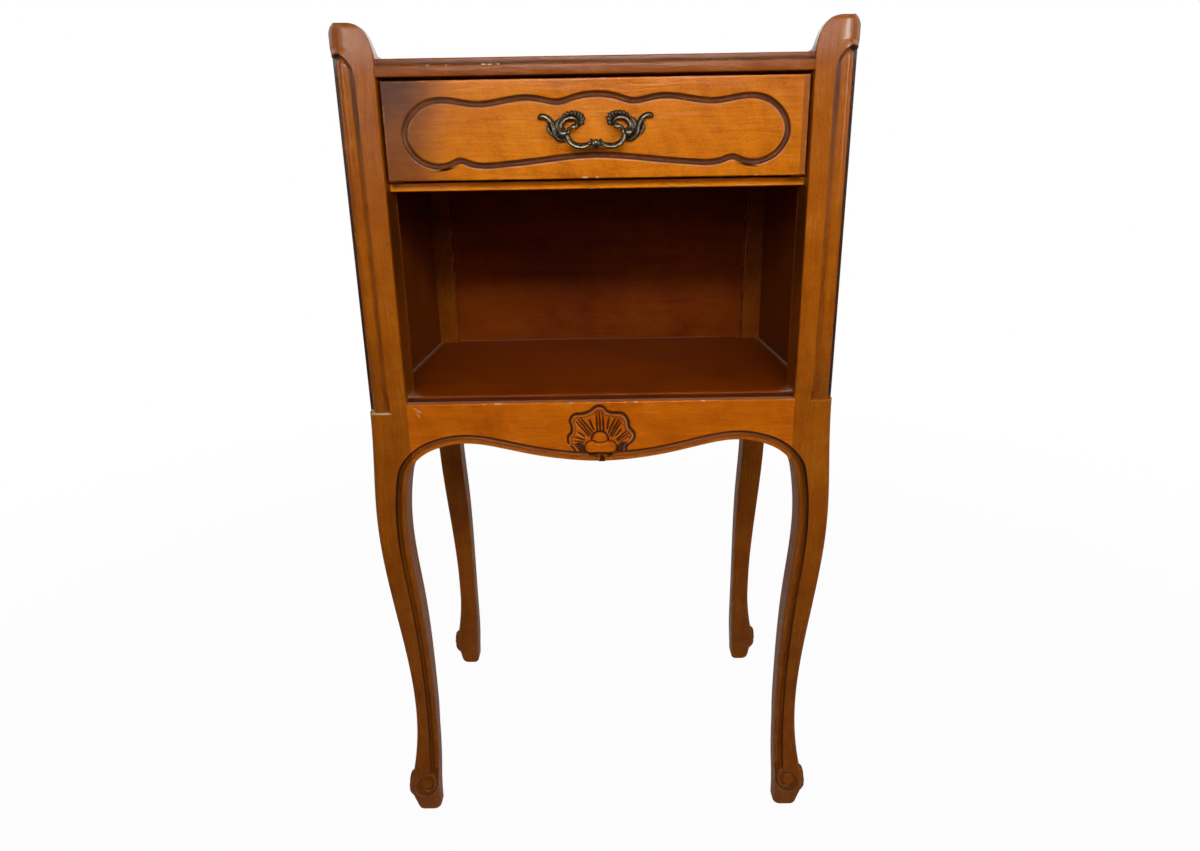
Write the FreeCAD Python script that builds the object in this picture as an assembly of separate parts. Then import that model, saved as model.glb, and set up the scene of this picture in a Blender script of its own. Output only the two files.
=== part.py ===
# Bedside cabinet with ears, one drawer, an open niche and curved legs.
# Millimetres, +Z up. Pieces are drawn with x across from the middle, y back from the front face of
# the front posts and z up from the floor, then moved so that y is 0 half way through the whole piece.
import FreeCAD, Part
import math
import os

Vector = FreeCAD.Vector
X_AXIS = Vector(1, 0, 0)
Y_AXIS = Vector(0, 1, 0)
Z_AXIS = Vector(0, 0, 1)
LEFT, RIGHT = -1, 1
SIDES = {"left": LEFT, "right": RIGHT}

# Overall sizes
width = 400.0
depth = 292.0
post_width = 34.5
post_depth = 34.5
back_post_depth = 38.0
overrun = 5.0
glue_gap = 0.1

# Heights, built up from the floor
leg_height = 381.5
arch_foot_drop = 1.8
apron_middle_height = 54.0
shelf_lip = 5.2
shelf_thickness = 12.0
niche_height = 168.2
rail_thickness = 6.3
drawer_gap_below = 1.3
drawer_front_height = 72.4
drawer_gap_above = 2.5
top_thickness = 13.2
apron_middle = leg_height + arch_foot_drop
apron_top = apron_middle + apron_middle_height
shelf_top = apron_top + shelf_lip
shelf_foot = shelf_top - shelf_thickness
rail_foot = shelf_top + niche_height
rail_top = rail_foot + rail_thickness
drawer_front_foot = rail_top + drawer_gap_below
drawer_front_top = drawer_front_foot + drawer_front_height
top_underside = drawer_front_top + drawer_gap_above
top_height = top_underside + top_thickness

# Ears above the tray, and the low rim of the sides
ear_rise = 24.6
ear_flat = 17.0
ear_drop = 27.0
ear_depth = 11.0
ear_hollow = 7.0
rim_rise = 3.1
ear_top = top_height + ear_rise
rim_top = top_height + rim_rise
quarter_pull_share = 0.5523

# Leg: heights as shares of its own height, insets from the post's outer face (inwards is positive)
leg_start_rise = 63.5
knee_height_share = 0.8912
knee_inset = -2.6
calf_height_share = 0.6422
calf_inset = 3.2
ankle_height_share = 0.3355
ankle_inset = 11.7
instep_height_share = 0.1809
instep_inset = 7.8
scroll_top_height_share = 0.1311
scroll_top_inset = 3.4
scroll_height_share = 0.076
scroll_inset = -0.5
toe_bend_height_share = 0.0288
toe_bend_inset = 3.6
toe_inset = 10.0
toe_width = 17.0
arch_bend_height_share = 0.9594
arch_bend_inset_share = 0.823
knee_back_height_share = 0.8781
knee_back_inset_share = 0.7275
calf_back_inset_share = 0.829
ankle_back_height_share = 0.4194
ankle_back_inset_share = 0.9072
heel_height_share = 0.249
scroll_back_inset_share = 0.8696
leg_start_height = leg_height + leg_start_rise

# Shaped lower edges of the front apron and of the sides
arch_rise = 17.7
arch_foot_angle = 50.0
arch_across_shares = (0.0, 0.18, 0.36, 0.54, 0.72, 0.846, 0.937, 1.0)
arch_height_shares = (0.0, 0.11, 0.38, 0.77, 1.0, 0.81, 0.43)
moulding_width = 8.4
moulding_depth = 2.6
moulding_foot_share = 0.1363
moulding_samples = 16

# Rounded corner of the front posts with its sunk, rounded finger moulding
corner_radius = 14.0
finger_width = 19.5
finger_side = 14.0
finger_recess = 3.0
finger_top_drop = 22.0
finger_foot_rises = {"left": 48.5, "right": 54.5}
diagonal_share = math.sqrt(0.5)

# Sides, back and tenons
side_thickness = 12.0
side_setback = 2.3
tongue_thickness = 6.0
tongue_length = 8.0
tongue_end_margin = 14.0
tenon_length = 20.0
tenon_thickness = 8.0
tenon_margin = 9.0
apron_thickness = 18.0
apron_setback = 0.4
back_rail_thickness = 16.0
back_rail_setback = 4.0
back_rail_tenon_length = 15.0
back_top_rail_height = 38.0
back_crest_rise = 15.6
back_crest_lift = 6.0
back_bottom_rail_height = 40.0
back_panel_thickness = 4.0
back_panel_setback = 6.0
back_panel_grip = 6.0

# Top, lipping, rail and panels inside
lipping_depth = 10.5
lipping_setback = 1.5
lipping_step = 3.5
lipping_fillet_height = 4.7
rail_setback = 15.0
rail_depth = 45.0
rail_housing = 8.0
rail_housing_margin = 5.0
dust_housing = 4.0
shelf_lip_setback = 9.0
shelf_round = 2.0

# Cleats, guides, stops and blocks
top_cleat_width = 35.0
top_cleat_height = 9.0
cleat_end_margin = 16.0
shelf_cleat_width = 12.0
shelf_cleat_height = 14.5
guide_height = 15.0
stop_width = 24.0
stop_depth = 12.0
stop_height = 5.0
stop_spread = 90.0
block_length = 40.0
block_height = 18.0
block_depth = 18.0
block_spread = 90.0

# Screws
screw_radius = 1.75
screw_head_radius = 3.5
screw_head_height = 2.5
cleat_screw_length = 18.0
shelf_screw_length = 19.0
bottom_screw_length = 15.0
screws_per_cleat = 3
screws_in_bottom = 3
bottom_screw_spacing = 110.0
cleat_screw_end = 25.0

# Drawer
drawer_setback = 3.0
drawer_front_thickness = 18.0
drawer_front_gap = 2.4
drawer_guide_gap = 0.5
drawer_run_gap = 0.3
drawer_side_thickness = 9.0
drawer_side_height = 63.0
drawer_back_clearance = 9.0
drawer_lap = 11.0
drawer_bottom_thickness = 4.0
drawer_bottom_lift = 6.0
drawer_bottom_grip = 4.5
groove_width = 3.8
groove_depth = 1.8
cartouche_half_length = 147.8
cartouche_height = 50.2
cartouche_foot = 10.9
cartouche_samples = 48
cartouche_across_shares = (0.0, 0.115, 0.2, 0.265, 0.345, 0.62, 0.84, 0.955, 1.0,
                           0.955, 0.86, 0.765, 0.72, 0.66, 0.54, 0.27, 0.0)
cartouche_height_shares = (1.0, 0.955, 0.895, 0.925, 0.96, 0.88, 0.935, 0.75, 0.44,
                           0.15, 0.0, 0.025, 0.072, 0.025, 0.0, 0.07, 0.13)

# Brass pull
pull_height = 33.4
pull_spread = 26.0
plate_width = 35.0
plate_height = 20.5
plate_thickness = 3.0
plate_lift = 4.5
plate_outline_shares = ((-0.46, -0.02), (-0.49, 0.32), (-0.27, 0.52), (0.0, 0.37), (0.11, 0.12),
                        (0.24, 0.22), (0.40, 0.44), (0.51, 0.36), (0.44, 0.22), (0.30, 0.0),
                        (0.24, -0.27), (0.06, -0.45), (-0.14, -0.40), (-0.24, -0.18))
plate_eye_shares = (-0.17, 0.14)
plate_eye_width = 8.0
plate_eye_height = 5.0
pivot_reach = 9.0
lug_radius = 3.0
lug_length = 5.4
lug_gap = 0.4
pin_radius = 1.0
pin_play = 0.05
bail_radius = 1.6
bail_half_width = 20.3
bail_drop = 9.5
bail_knot_radius = 3.2
bail_knot_length = 10.0
stud_radius = 2.0
stud_play = 0.2
stud_spare = 3.0
washer_radius = 5.0
washer_thickness = 1.0
nut_width = 7.0
nut_sides = 6
nut_height = 3.2

# Carved shell on the apron
shell_half_width = 28.8
shell_height = 38.5
shell_foot = 11.5
shell_sink = 1.6
shell_rim_shares = ((0.0, 1.0), (0.25, 0.905), (0.33, 0.835), (0.66, 0.80), (0.87, 0.66),
                    (0.88, 0.47), (1.0, 0.24), (0.93, 0.02), (0.62, -0.06))
shell_dome_radius = 8.6
shell_dome_lift = 8.0
shell_bean_radius = 6.8
shell_bean_spread = 6.4
shell_bean_lift = 1.6

# Places that several pieces share
half_width = width / 2
half_opening = half_width - post_width
side_outer = half_width - side_setback
side_inner = side_outer - side_thickness
side_middle = (side_outer + side_inner) / 2
back_post_front = depth - back_post_depth
back_rail_front = back_post_front + back_rail_setback
back_rail_back = back_rail_front + back_rail_thickness
back_panel_front = back_rail_front + back_panel_setback
back_panel_back = back_panel_front + back_panel_thickness
back_top_rail_foot = top_underside - back_top_rail_height
back_bottom_rail_foot = shelf_foot - back_bottom_rail_height
apron_back = apron_setback + apron_thickness
drawer_half_width = half_opening - drawer_front_gap
drawer_front_back = drawer_setback + drawer_front_thickness
drawer_box_back = back_rail_front - drawer_back_clearance
drawer_side_foot = rail_top + drawer_run_gap
drawer_side_top = drawer_side_foot + drawer_side_height
drawer_bottom_foot = drawer_side_foot + drawer_bottom_lift
drawer_bottom_top = drawer_bottom_foot + drawer_bottom_thickness
rail_back = rail_setback + rail_depth
lipping_back = lipping_setback + lipping_depth
pull_z = drawer_front_foot + pull_height
pivot_y = drawer_setback - pivot_reach
front_reach = pivot_y - max(bail_knot_radius, lug_radius)
back_reach = depth - knee_inset
middle_y = (front_reach + back_reach) / 2


def at(x, y, z):
    """Point measured from the middle, the posts' front face and the floor."""
    return Vector(x, y, z)


def line(start, end):
    return Part.makeLine(start, end)


def arc(start, middle, end):
    return Part.Arc(start, middle, end).toShape()


def spline(points, tangents=None):
    """Smooth curve through the points, with its end directions where they are given."""
    curve = Part.BSplineCurve()
    if tangents is None:
        curve.interpolate(Points=points)
    else:
        curve.interpolate(Points=points, InitialTangent=tangents[0], FinalTangent=tangents[1])
    return curve


def quarter(start, corner, end):
    """Quarter of an ellipse from start to end, rounding off the corner between them."""
    curve = Part.BezierCurve()
    near = start + (corner - start) * quarter_pull_share
    far = end + (corner - end) * quarter_pull_share
    curve.setPoles([start, near, far, end])
    return curve.toShape()


def beside(curve, gap, normal, samples):
    """Curve that runs beside another one, to its left as seen with the normal pointing at the viewer."""
    first, last = curve.FirstParameter, curve.LastParameter
    points = []
    for index in range(samples + 1):
        place = first + (last - first) * index / samples
        direction = curve.tangent(place)[0]
        points.append(curve.value(place) + normal.cross(direction) * gap)
    return spline(points)


def face(edges):
    return Part.Face(Part.Wire(Part.__sortEdges__(edges)))


def polygon(points):
    return Part.Face(Part.makePolygon(points + points[:1]))


def block(low, high):
    """Box between two opposite corners."""
    size = high - low
    return Part.makeBox(size.x, size.y, size.z, low)


def mirrored(shape):
    """Copy of a shape on the other side of the middle."""
    return shape.mirror(at(0, 0, 0), X_AXIS)


def sided(shape, side):
    """The shape itself for the right, its mirror image for the left."""
    return shape if side == RIGHT else mirrored(shape)


def leg_lines(place, thickness):
    """Outer and inner line of a leg: place turns an inset and a height into a point."""
    down = Z_AXIS * -1
    inwards = (place(thickness, 0) - place(0, 0)).normalize()
    outer = spline([
        place(0, leg_start_height),
        place(knee_inset, leg_height * knee_height_share),
        place(calf_inset, leg_height * calf_height_share),
        place(ankle_inset, leg_height * ankle_height_share),
        place(instep_inset, leg_height * instep_height_share),
        place(scroll_top_inset, leg_height * scroll_top_height_share),
        place(scroll_inset, leg_height * scroll_height_share),
        place(toe_bend_inset, leg_height * toe_bend_height_share),
        place(toe_inset, 0),
    ], (down, down + inwards))
    lean = math.radians(arch_foot_angle)
    rise = inwards * math.cos(lean) - down * math.sin(lean)
    inner = spline([
        place(toe_inset + toe_width, 0),
        place(post_width * scroll_back_inset_share, leg_height * scroll_top_height_share),
        place(post_width * ankle_back_inset_share, leg_height * heel_height_share),
        place(post_width * ankle_back_inset_share, leg_height * ankle_back_height_share),
        place(post_width * calf_back_inset_share, leg_height * calf_height_share),
        place(post_width * knee_back_inset_share, leg_height * knee_back_height_share),
        place(post_width * arch_bend_inset_share, leg_height * arch_bend_height_share),
        place(thickness, leg_height),
    ], (down * -1, rise))
    return outer, inner


def leg_view(place, thickness, crown):
    """Face of a post and its leg in one view, closed at the top by the crown's edges."""
    outer, inner = leg_lines(place, thickness)
    edges = [
        line(place(0, ear_top), place(0, leg_start_height)),
        outer.toShape(),
        line(place(toe_inset, 0), place(toe_inset + toe_width, 0)),
        inner.toShape(),
        line(place(thickness, leg_height), crown[0].Vertexes[0].Point),
    ]
    return face(edges + crown)


def front_crown(place):
    """Top of a post seen from the front: flat outside, rounded down to the tray inside."""
    inner_top = place(post_width, ear_top - ear_drop)
    flat_end = place(ear_flat, ear_top)
    return [quarter(inner_top, place(post_width, ear_top), flat_end), line(flat_end, place(0, ear_top))]


def side_crown(place, thickness):
    """Top of a post seen from the side: a thin ear that sweeps down to the rim of the side."""
    sweep_foot = place(ear_depth + ear_hollow, rim_top)
    sweep_top = place(ear_depth, rim_top + ear_hollow)
    corner = place(ear_depth, rim_top)
    return [
        line(place(thickness, rim_top), sweep_foot),
        quarter(sweep_foot, corner, sweep_top),
        line(sweep_top, place(ear_depth, ear_top)),
        line(place(ear_depth, ear_top), place(0, ear_top)),
    ]


def from_outside(inset, height):
    """Place in the front view of a right-hand post, on the front plane."""
    return at(half_width - inset, 0, height)


def from_front(inset, height):
    """Place in the side view of a front post, on the middle plane."""
    return at(0, inset, height)


def from_back(inset, height):
    """Place in the side view of a back post, on the middle plane."""
    return at(0, depth - inset, height)


def leg_stick(place, thickness):
    """A right-hand post and leg as sawn: its front view and its side view, one through the other."""
    front_view = leg_view(from_outside, post_width, front_crown(from_outside))
    side_view = leg_view(place, thickness, side_crown(place, thickness))
    across = side_view.extrude(X_AXIS * (width + overrun))
    front_view.translate(Y_AXIS * -overrun)
    through = front_view.extrude(Y_AXIS * (depth + overrun + overrun))
    return through.common(across)


def corner_waste(radius):
    """What comes off a front post's outer corner to round it, over the ear and the post."""
    low = leg_start_height
    start = at(half_width - radius, 0, low)
    middle = at(half_width - radius + radius * diagonal_share, radius - radius * diagonal_share, low)
    end = at(half_width, radius, low)
    outside = [
        at(half_width + overrun, radius, low),
        at(half_width + overrun, -overrun, low),
        at(half_width - radius, -overrun, low),
    ]
    edges = [
        arc(start, middle, end),
        line(end, outside[0]),
        line(outside[0], outside[1]),
        line(outside[1], outside[2]),
        line(outside[2], start),
    ]
    return face(edges).extrude(Z_AXIS * (ear_top + overrun - low))


def finger_waste(foot):
    """What comes off around the sunk finger moulding on a front post's outer corner."""
    inner = half_width - finger_width
    reach = finger_width - finger_recess
    rise = finger_side - finger_recess
    start = at(inner, finger_recess, foot)
    middle = at(inner + reach * diagonal_share, finger_side - rise * diagonal_share, foot)
    end = at(inner + reach, finger_side, foot)
    outside = [
        at(half_width + overrun, finger_side, foot),
        at(half_width + overrun, -overrun, foot),
        at(inner, -overrun, foot),
    ]
    edges = [
        arc(start, middle, end),
        line(end, outside[0]),
        line(outside[0], outside[1]),
        line(outside[1], outside[2]),
        line(outside[2], start),
    ]
    return face(edges).extrude(Z_AXIS * (ear_top - finger_top_drop - foot))


def leg_moulding_waste():
    """Cove along the inner front edge of a right-hand front leg, from the arch down to the scroll."""
    inner = leg_lines(from_outside, post_width)[1]
    edge = beside(inner, moulding_width, Y_AXIS * -1, moulding_samples)
    start, end = edge.value(edge.FirstParameter), edge.value(edge.LastParameter)
    far = half_opening - moulding_width
    band = face([
        edge.toShape(),
        line(end, at(far, 0, end.z)),
        line(at(far, 0, end.z), at(far, 0, start.z)),
        line(at(far, 0, start.z), start),
    ])
    band.translate(Y_AXIS * -overrun)
    inside = band.extrude(Y_AXIS * (post_depth + overrun))
    front = leg_lines(from_front, post_depth)[0]
    front_edge = front.toShape()
    front_edge.translate(Y_AXIS * moulding_depth)
    foot, head = front.value(front.LastParameter), front.value(front.FirstParameter)
    lower = at(0, foot.y + moulding_depth, foot.z)
    upper = at(0, head.y + moulding_depth, head.z)
    skin = face([
        front_edge,
        line(lower, at(0, -overrun, foot.z)),
        line(at(0, -overrun, foot.z), at(0, -overrun, head.z)),
        line(at(0, -overrun, head.z), upper),
    ])
    across = skin.extrude(X_AXIS * width)
    high = at(width, post_depth, end.z + moulding_width)
    above_scroll = block(at(0, -overrun, leg_height * moulding_foot_share), high)
    return inside.common(across).common(above_scroll)


def tongue_slot(front, back):
    """Groove for a right-hand side panel's tongue between two depths."""
    half = tongue_thickness / 2 + glue_gap
    low = leg_height + tongue_end_margin - glue_gap
    high = rim_top - tongue_end_margin + glue_gap
    return block(at(side_middle - half, front, low), at(side_middle + half, back, high))


def apron_mortise():
    """Mortise for the apron's tenon in a right-hand front post."""
    middle = apron_setback + apron_thickness / 2
    half = tenon_thickness / 2 + glue_gap
    low = at(half_opening - overrun, middle - half, leg_height + tenon_margin - glue_gap)
    high = at(half_opening + tenon_length + glue_gap, middle + half, apron_top - tenon_margin + glue_gap)
    return block(low, high)


def rail_mortise():
    """Housing for the end of the drawer rail in a right-hand front post."""
    low = at(half_opening - overrun, rail_setback + rail_housing_margin, rail_foot)
    return block(low, at(half_opening + rail_housing, post_depth + overrun, rail_top))


def back_rail_mortise(foot, head):
    """Mortise for a back rail's tenon in a right-hand back post."""
    middle = (back_rail_front + back_rail_back) / 2
    half = tenon_thickness / 2 + glue_gap
    low = at(half_opening - overrun, middle - half, foot + tenon_margin - glue_gap)
    reach = half_opening + back_rail_tenon_length + glue_gap
    high = at(reach, middle + half, head - tenon_margin + glue_gap)
    return block(low, high)


def front_leg(side, finger_foot):
    stick = leg_stick(from_front, post_depth)
    stick = stick.cut(corner_waste(corner_radius))
    stick = stick.cut(finger_waste(finger_foot))
    stick = stick.cut(leg_moulding_waste())
    stick = stick.cut(tongue_slot(post_depth - tongue_length - glue_gap, post_depth + overrun))
    stick = stick.cut(apron_mortise())
    stick = stick.cut(rail_mortise())
    return sided(stick, side)


def back_leg(side):
    stick = leg_stick(from_back, back_post_depth)
    stick = stick.cut(tongue_slot(back_post_front - overrun, back_post_front + tongue_length + glue_gap))
    stick = stick.cut(back_rail_mortise(back_top_rail_foot, top_height))
    stick = stick.cut(back_rail_mortise(back_bottom_rail_foot, shelf_foot))
    low = at(half_opening - overrun, back_panel_front, shelf_foot - back_panel_grip)
    high = at(half_opening + back_panel_grip, back_panel_back, back_top_rail_foot + back_panel_grip)
    stick = stick.cut(block(low, high))
    return sided(stick, side)


def arch_curve(half_length, along, origin):
    """Half of a shaped lower edge, from its middle out to the post."""
    points = []
    for across, height in zip(arch_across_shares, arch_height_shares):
        level = Z_AXIS * (apron_middle + arch_rise * height)
        points.append(origin + along * (half_length * across) + level)
    points.append(origin + along * half_length + Z_AXIS * leg_height)
    lean = math.radians(arch_foot_angle)
    return spline(points, (along, along * math.cos(lean) - Z_AXIS * math.sin(lean)))


def arched_board(half_length, along, origin, top, thickness):
    """Board with the shaped lower edge on both halves and a straight top."""
    curve = arch_curve(half_length, along, origin)
    half = face([
        curve.toShape(),
        line(curve.value(curve.LastParameter), origin + along * half_length + Z_AXIS * top),
        line(origin + along * half_length + Z_AXIS * top, origin + Z_AXIS * top),
        line(origin + Z_AXIS * top, curve.value(curve.FirstParameter)),
    ]).extrude(thickness)
    other = half.mirror(origin, along)
    return half.fuse(other).removeSplitter()


def shell_carving():
    """Sunk field of the carved shell and the dome and double volute that stay standing in it."""
    foot = apron_middle + shell_foot
    points = []
    for across, height in shell_rim_shares:
        points.append(at(shell_half_width * across, apron_setback, foot + shell_height * height))
    rim = spline(points)
    low_end = at(0, apron_setback, points[-1].z)
    half = face([
        rim.toShape(),
        line(points[-1], low_end),
        line(low_end, points[0]),
    ]).extrude(Y_AXIS * shell_sink)
    field = half.fuse(mirrored(half))
    dome_place = at(0, apron_setback, foot + shell_dome_lift)
    dome = Part.makeCylinder(shell_dome_radius, shell_sink, dome_place, Y_AXIS)
    for side in SIDES.values():
        bean_place = at(side * shell_bean_spread, apron_setback, foot + shell_bean_lift)
        dome = dome.fuse(Part.makeCylinder(shell_bean_radius, shell_sink, bean_place, Y_AXIS))
    return field.cut(dome)


def front_apron():
    origin = at(0, apron_setback, 0)
    board = arched_board(half_opening, X_AXIS, origin, apron_top, Y_AXIS * apron_thickness)
    curve = arch_curve(half_opening, X_AXIS, origin)
    edge = beside(curve, moulding_width, Y_AXIS * -1, moulding_samples)
    start, end = edge.value(edge.FirstParameter), edge.value(edge.LastParameter)
    below = apron_middle - overrun
    band = face([
        edge.toShape(),
        line(end, at(end.x, apron_setback, below)),
        line(at(end.x, apron_setback, below), at(0, apron_setback, below)),
        line(at(0, apron_setback, below), start),
    ]).extrude(Y_AXIS * (moulding_depth - apron_setback))
    board = board.cut(band).cut(mirrored(band))
    board = board.cut(shell_carving())
    middle = apron_setback + apron_thickness / 2
    low = at(half_opening, middle - tenon_thickness / 2, leg_height + tenon_margin)
    high = at(half_opening + tenon_length, middle + tenon_thickness / 2, apron_top - tenon_margin)
    tenon = block(low, high)
    return board.fuse([tenon, mirrored(tenon)])


def side_panel(side):
    length = back_post_front - post_depth
    origin = at(side_inner, post_depth + length / 2, 0)
    board = arched_board(length / 2, Y_AXIS, origin, rim_top, X_AXIS * side_thickness)
    half = tongue_thickness / 2
    low = leg_height + tongue_end_margin
    high = rim_top - tongue_end_margin
    front_tongue = (post_depth - tongue_length, post_depth)
    back_tongue = (back_post_front, back_post_front + tongue_length)
    for front, back in (front_tongue, back_tongue):
        tongue = block(at(side_middle - half, front, low), at(side_middle + half, back, high))
        board = board.fuse(tongue)
    housing_low = at(side_inner - overrun, rail_back, rail_foot)
    board = board.cut(block(housing_low, at(side_inner + dust_housing, back_post_front, rail_top)))
    for item in shelf_cleat_screw_list():
        board = board.cut(item)
    return sided(board, side)


def back_top_rail():
    """Rail behind the tray: it holds the back panel and its crest is the tray's low back."""
    half_crest = at(0, back_rail_front, top_height + back_crest_rise)
    crest_end = at(half_opening, back_rail_front, top_height + back_crest_rise - back_crest_lift)
    crest = spline([half_crest, crest_end], (X_AXIS, X_AXIS - Z_AXIS * (back_crest_lift / half_opening)))
    foot_middle = at(0, back_rail_front, back_top_rail_foot)
    foot_end = at(half_opening, back_rail_front, back_top_rail_foot)
    half = face([
        crest.toShape(),
        line(crest_end, foot_end),
        line(foot_end, foot_middle),
        line(foot_middle, half_crest),
    ]).extrude(Y_AXIS * back_rail_thickness)
    board = half.fuse(mirrored(half)).removeSplitter()
    return back_rail_fitted(board, back_top_rail_foot, top_height, back_top_rail_foot)


def back_bottom_rail():
    low = at(-half_opening, back_rail_front, back_bottom_rail_foot)
    board = block(low, at(half_opening, back_rail_back, shelf_foot))
    return back_rail_fitted(board, back_bottom_rail_foot, shelf_foot, shelf_foot)


def back_rail_fitted(board, foot, head, groove_level):
    """Back rail with its two tenons and the groove that grips the back panel."""
    middle = (back_rail_front + back_rail_back) / 2
    low = at(half_opening, middle - tenon_thickness / 2, foot + tenon_margin)
    high = at(half_opening + back_rail_tenon_length, middle + tenon_thickness / 2, head - tenon_margin)
    tenon = block(low, high)
    board = board.fuse([tenon, mirrored(tenon)])
    reach = half_opening + back_rail_tenon_length
    groove = block(at(-reach, back_panel_front, groove_level - back_panel_grip),
                   at(reach, back_panel_back, groove_level + back_panel_grip))
    return board.cut(groove)


def back_panel():
    reach = half_opening + back_panel_grip
    low = at(-reach, back_panel_front, shelf_foot - back_panel_grip)
    return block(low, at(reach, back_panel_back, back_top_rail_foot + back_panel_grip))


def notched_board(front, back, foot, top):
    """Board that fills the carcass between the sides, cut out around the four posts."""
    points = [(half_opening, front), (half_opening, post_depth), (side_inner, post_depth),
              (side_inner, back_post_front), (half_opening, back_post_front), (half_opening, back)]
    right = [at(x, y, foot) for x, y in points]
    left = [at(-x, y, foot) for x, y in reversed(points)]
    return polygon(right + left).extrude(Z_AXIS * (top - foot))


def top_board():
    board = notched_board(lipping_back, back_rail_front, top_underside, top_height)
    for item in top_cleat_screw_list():
        board = board.cut(item).cut(mirrored(item))
    return board


def top_lipping():
    """Solid front edge of the top: a thick nosing with a thin fillet standing back above it."""
    step = top_height - lipping_fillet_height
    profile = [
        at(-half_opening, lipping_back, top_underside),
        at(-half_opening, lipping_setback, top_underside),
        at(-half_opening, lipping_setback, step),
        at(-half_opening, lipping_setback + lipping_step, step),
        at(-half_opening, lipping_setback + lipping_step, top_height),
        at(-half_opening, lipping_back, top_height),
    ]
    return polygon(profile).extrude(X_AXIS * (half_opening * 2))


def shelf():
    board = notched_board(apron_back, back_panel_front, shelf_foot, shelf_top)
    lip = block(at(-half_opening, shelf_lip_setback, apron_top), at(half_opening, apron_back, shelf_top))
    board = board.fuse(lip).removeSplitter()
    nosing = [edge for edge in board.Edges if is_nosing(edge)]
    return board.makeFillet(shelf_round, nosing)


def is_nosing(edge):
    """True for the shelf's upper front edge."""
    box = edge.BoundBox
    on_front = abs(box.YMax - shelf_lip_setback) < glue_gap and abs(box.YMin - shelf_lip_setback) < glue_gap
    return on_front and abs(box.ZMin - shelf_top) < glue_gap


def drawer_rail():
    rail = block(at(-half_opening, rail_setback, rail_foot), at(half_opening, rail_back, rail_top))
    low = at(half_opening, rail_setback + rail_housing_margin, rail_foot)
    stub = block(low, at(half_opening + rail_housing, post_depth, rail_top))
    return rail.fuse([stub, mirrored(stub)]).removeSplitter()


def dust_panel():
    reach = side_inner + dust_housing
    return block(at(-reach, rail_back, rail_foot), at(reach, back_post_front, rail_top))


def top_cleat(side):
    low = at(side_inner - top_cleat_width, post_depth + cleat_end_margin, top_underside - top_cleat_height)
    high = at(side_inner, back_post_front - cleat_end_margin, top_underside)
    cleat = block(low, high)
    for item in top_cleat_screw_list():
        cleat = cleat.cut(item)
    return sided(cleat, side)


def shelf_cleat(side):
    low = at(side_inner - shelf_cleat_width, post_depth + cleat_end_margin, shelf_foot - shelf_cleat_height)
    high = at(side_inner, back_post_front - cleat_end_margin, shelf_foot)
    cleat = block(low, high)
    for item in shelf_cleat_screw_list():
        cleat = cleat.cut(item)
    return sided(cleat, side)


def screw(place, direction, length):
    """Countersunk wood screw with its head's flat face at the place."""
    head = Part.makeCone(screw_head_radius, screw_radius, screw_head_height, place, direction)
    shank = Part.makeCylinder(screw_radius, length, place, direction)
    return head.fuse(shank).removeSplitter()


def cleat_screw_depths():
    """Even places for a cleat's screws, front to back."""
    first = post_depth + cleat_end_margin + cleat_screw_end
    last = back_post_front - cleat_end_margin - cleat_screw_end
    return [first + (last - first) * index / (screws_per_cleat - 1) for index in range(screws_per_cleat)]


def top_cleat_screw_list():
    """Right-hand screws that go up through a top cleat into the top."""
    x = side_inner - top_cleat_width / 2
    z = top_underside - top_cleat_height
    return [screw(at(x, y, z), Z_AXIS, cleat_screw_length) for y in cleat_screw_depths()]


def shelf_cleat_screw_list():
    """Right-hand screws that go through a shelf cleat into the side."""
    x = side_inner - shelf_cleat_width
    z = shelf_foot - shelf_cleat_height / 2
    return [screw(at(x, y, z), X_AXIS, shelf_screw_length) for y in cleat_screw_depths()]


def both_sides(shapes):
    """Group of shapes with their mirror images."""
    return Part.makeCompound(shapes + [mirrored(shape) for shape in shapes])


def drawer_guide(side):
    low = at(drawer_half_width + drawer_guide_gap, rail_back, rail_top)
    return sided(block(low, at(side_inner, back_post_front, rail_top + guide_height)), side)


def drawer_stops():
    low = at(stop_spread - stop_width / 2, drawer_front_back + drawer_run_gap, rail_top)
    stop = block(low, low + at(stop_width, stop_depth, stop_height))
    return both_sides([stop])


def glue_blocks():
    """Small blocks in the corner between the apron and the shelf."""
    blocks = []
    for x in (-block_spread, 0, block_spread):
        low = at(x - block_length / 2, apron_back, shelf_foot - block_height)
        blocks.append(block(low, at(x + block_length / 2, apron_back + block_depth, shelf_foot)))
    return Part.makeCompound(blocks)


def cartouche_edge(gap):
    """Closed outline of the drawer's groove, moved outwards by the gap."""
    foot = drawer_front_foot + cartouche_foot
    points = []
    for across, height in zip(cartouche_across_shares, cartouche_height_shares):
        x = cartouche_half_length * across
        points.append(at(x, drawer_setback, foot + cartouche_height * height))
    half = spline(points, (X_AXIS, X_AXIS * -1))
    edge = beside(half, gap, Y_AXIS * -1, cartouche_samples).toShape()
    return Part.Wire(Part.__sortEdges__([edge, mirrored(edge)]))


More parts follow.
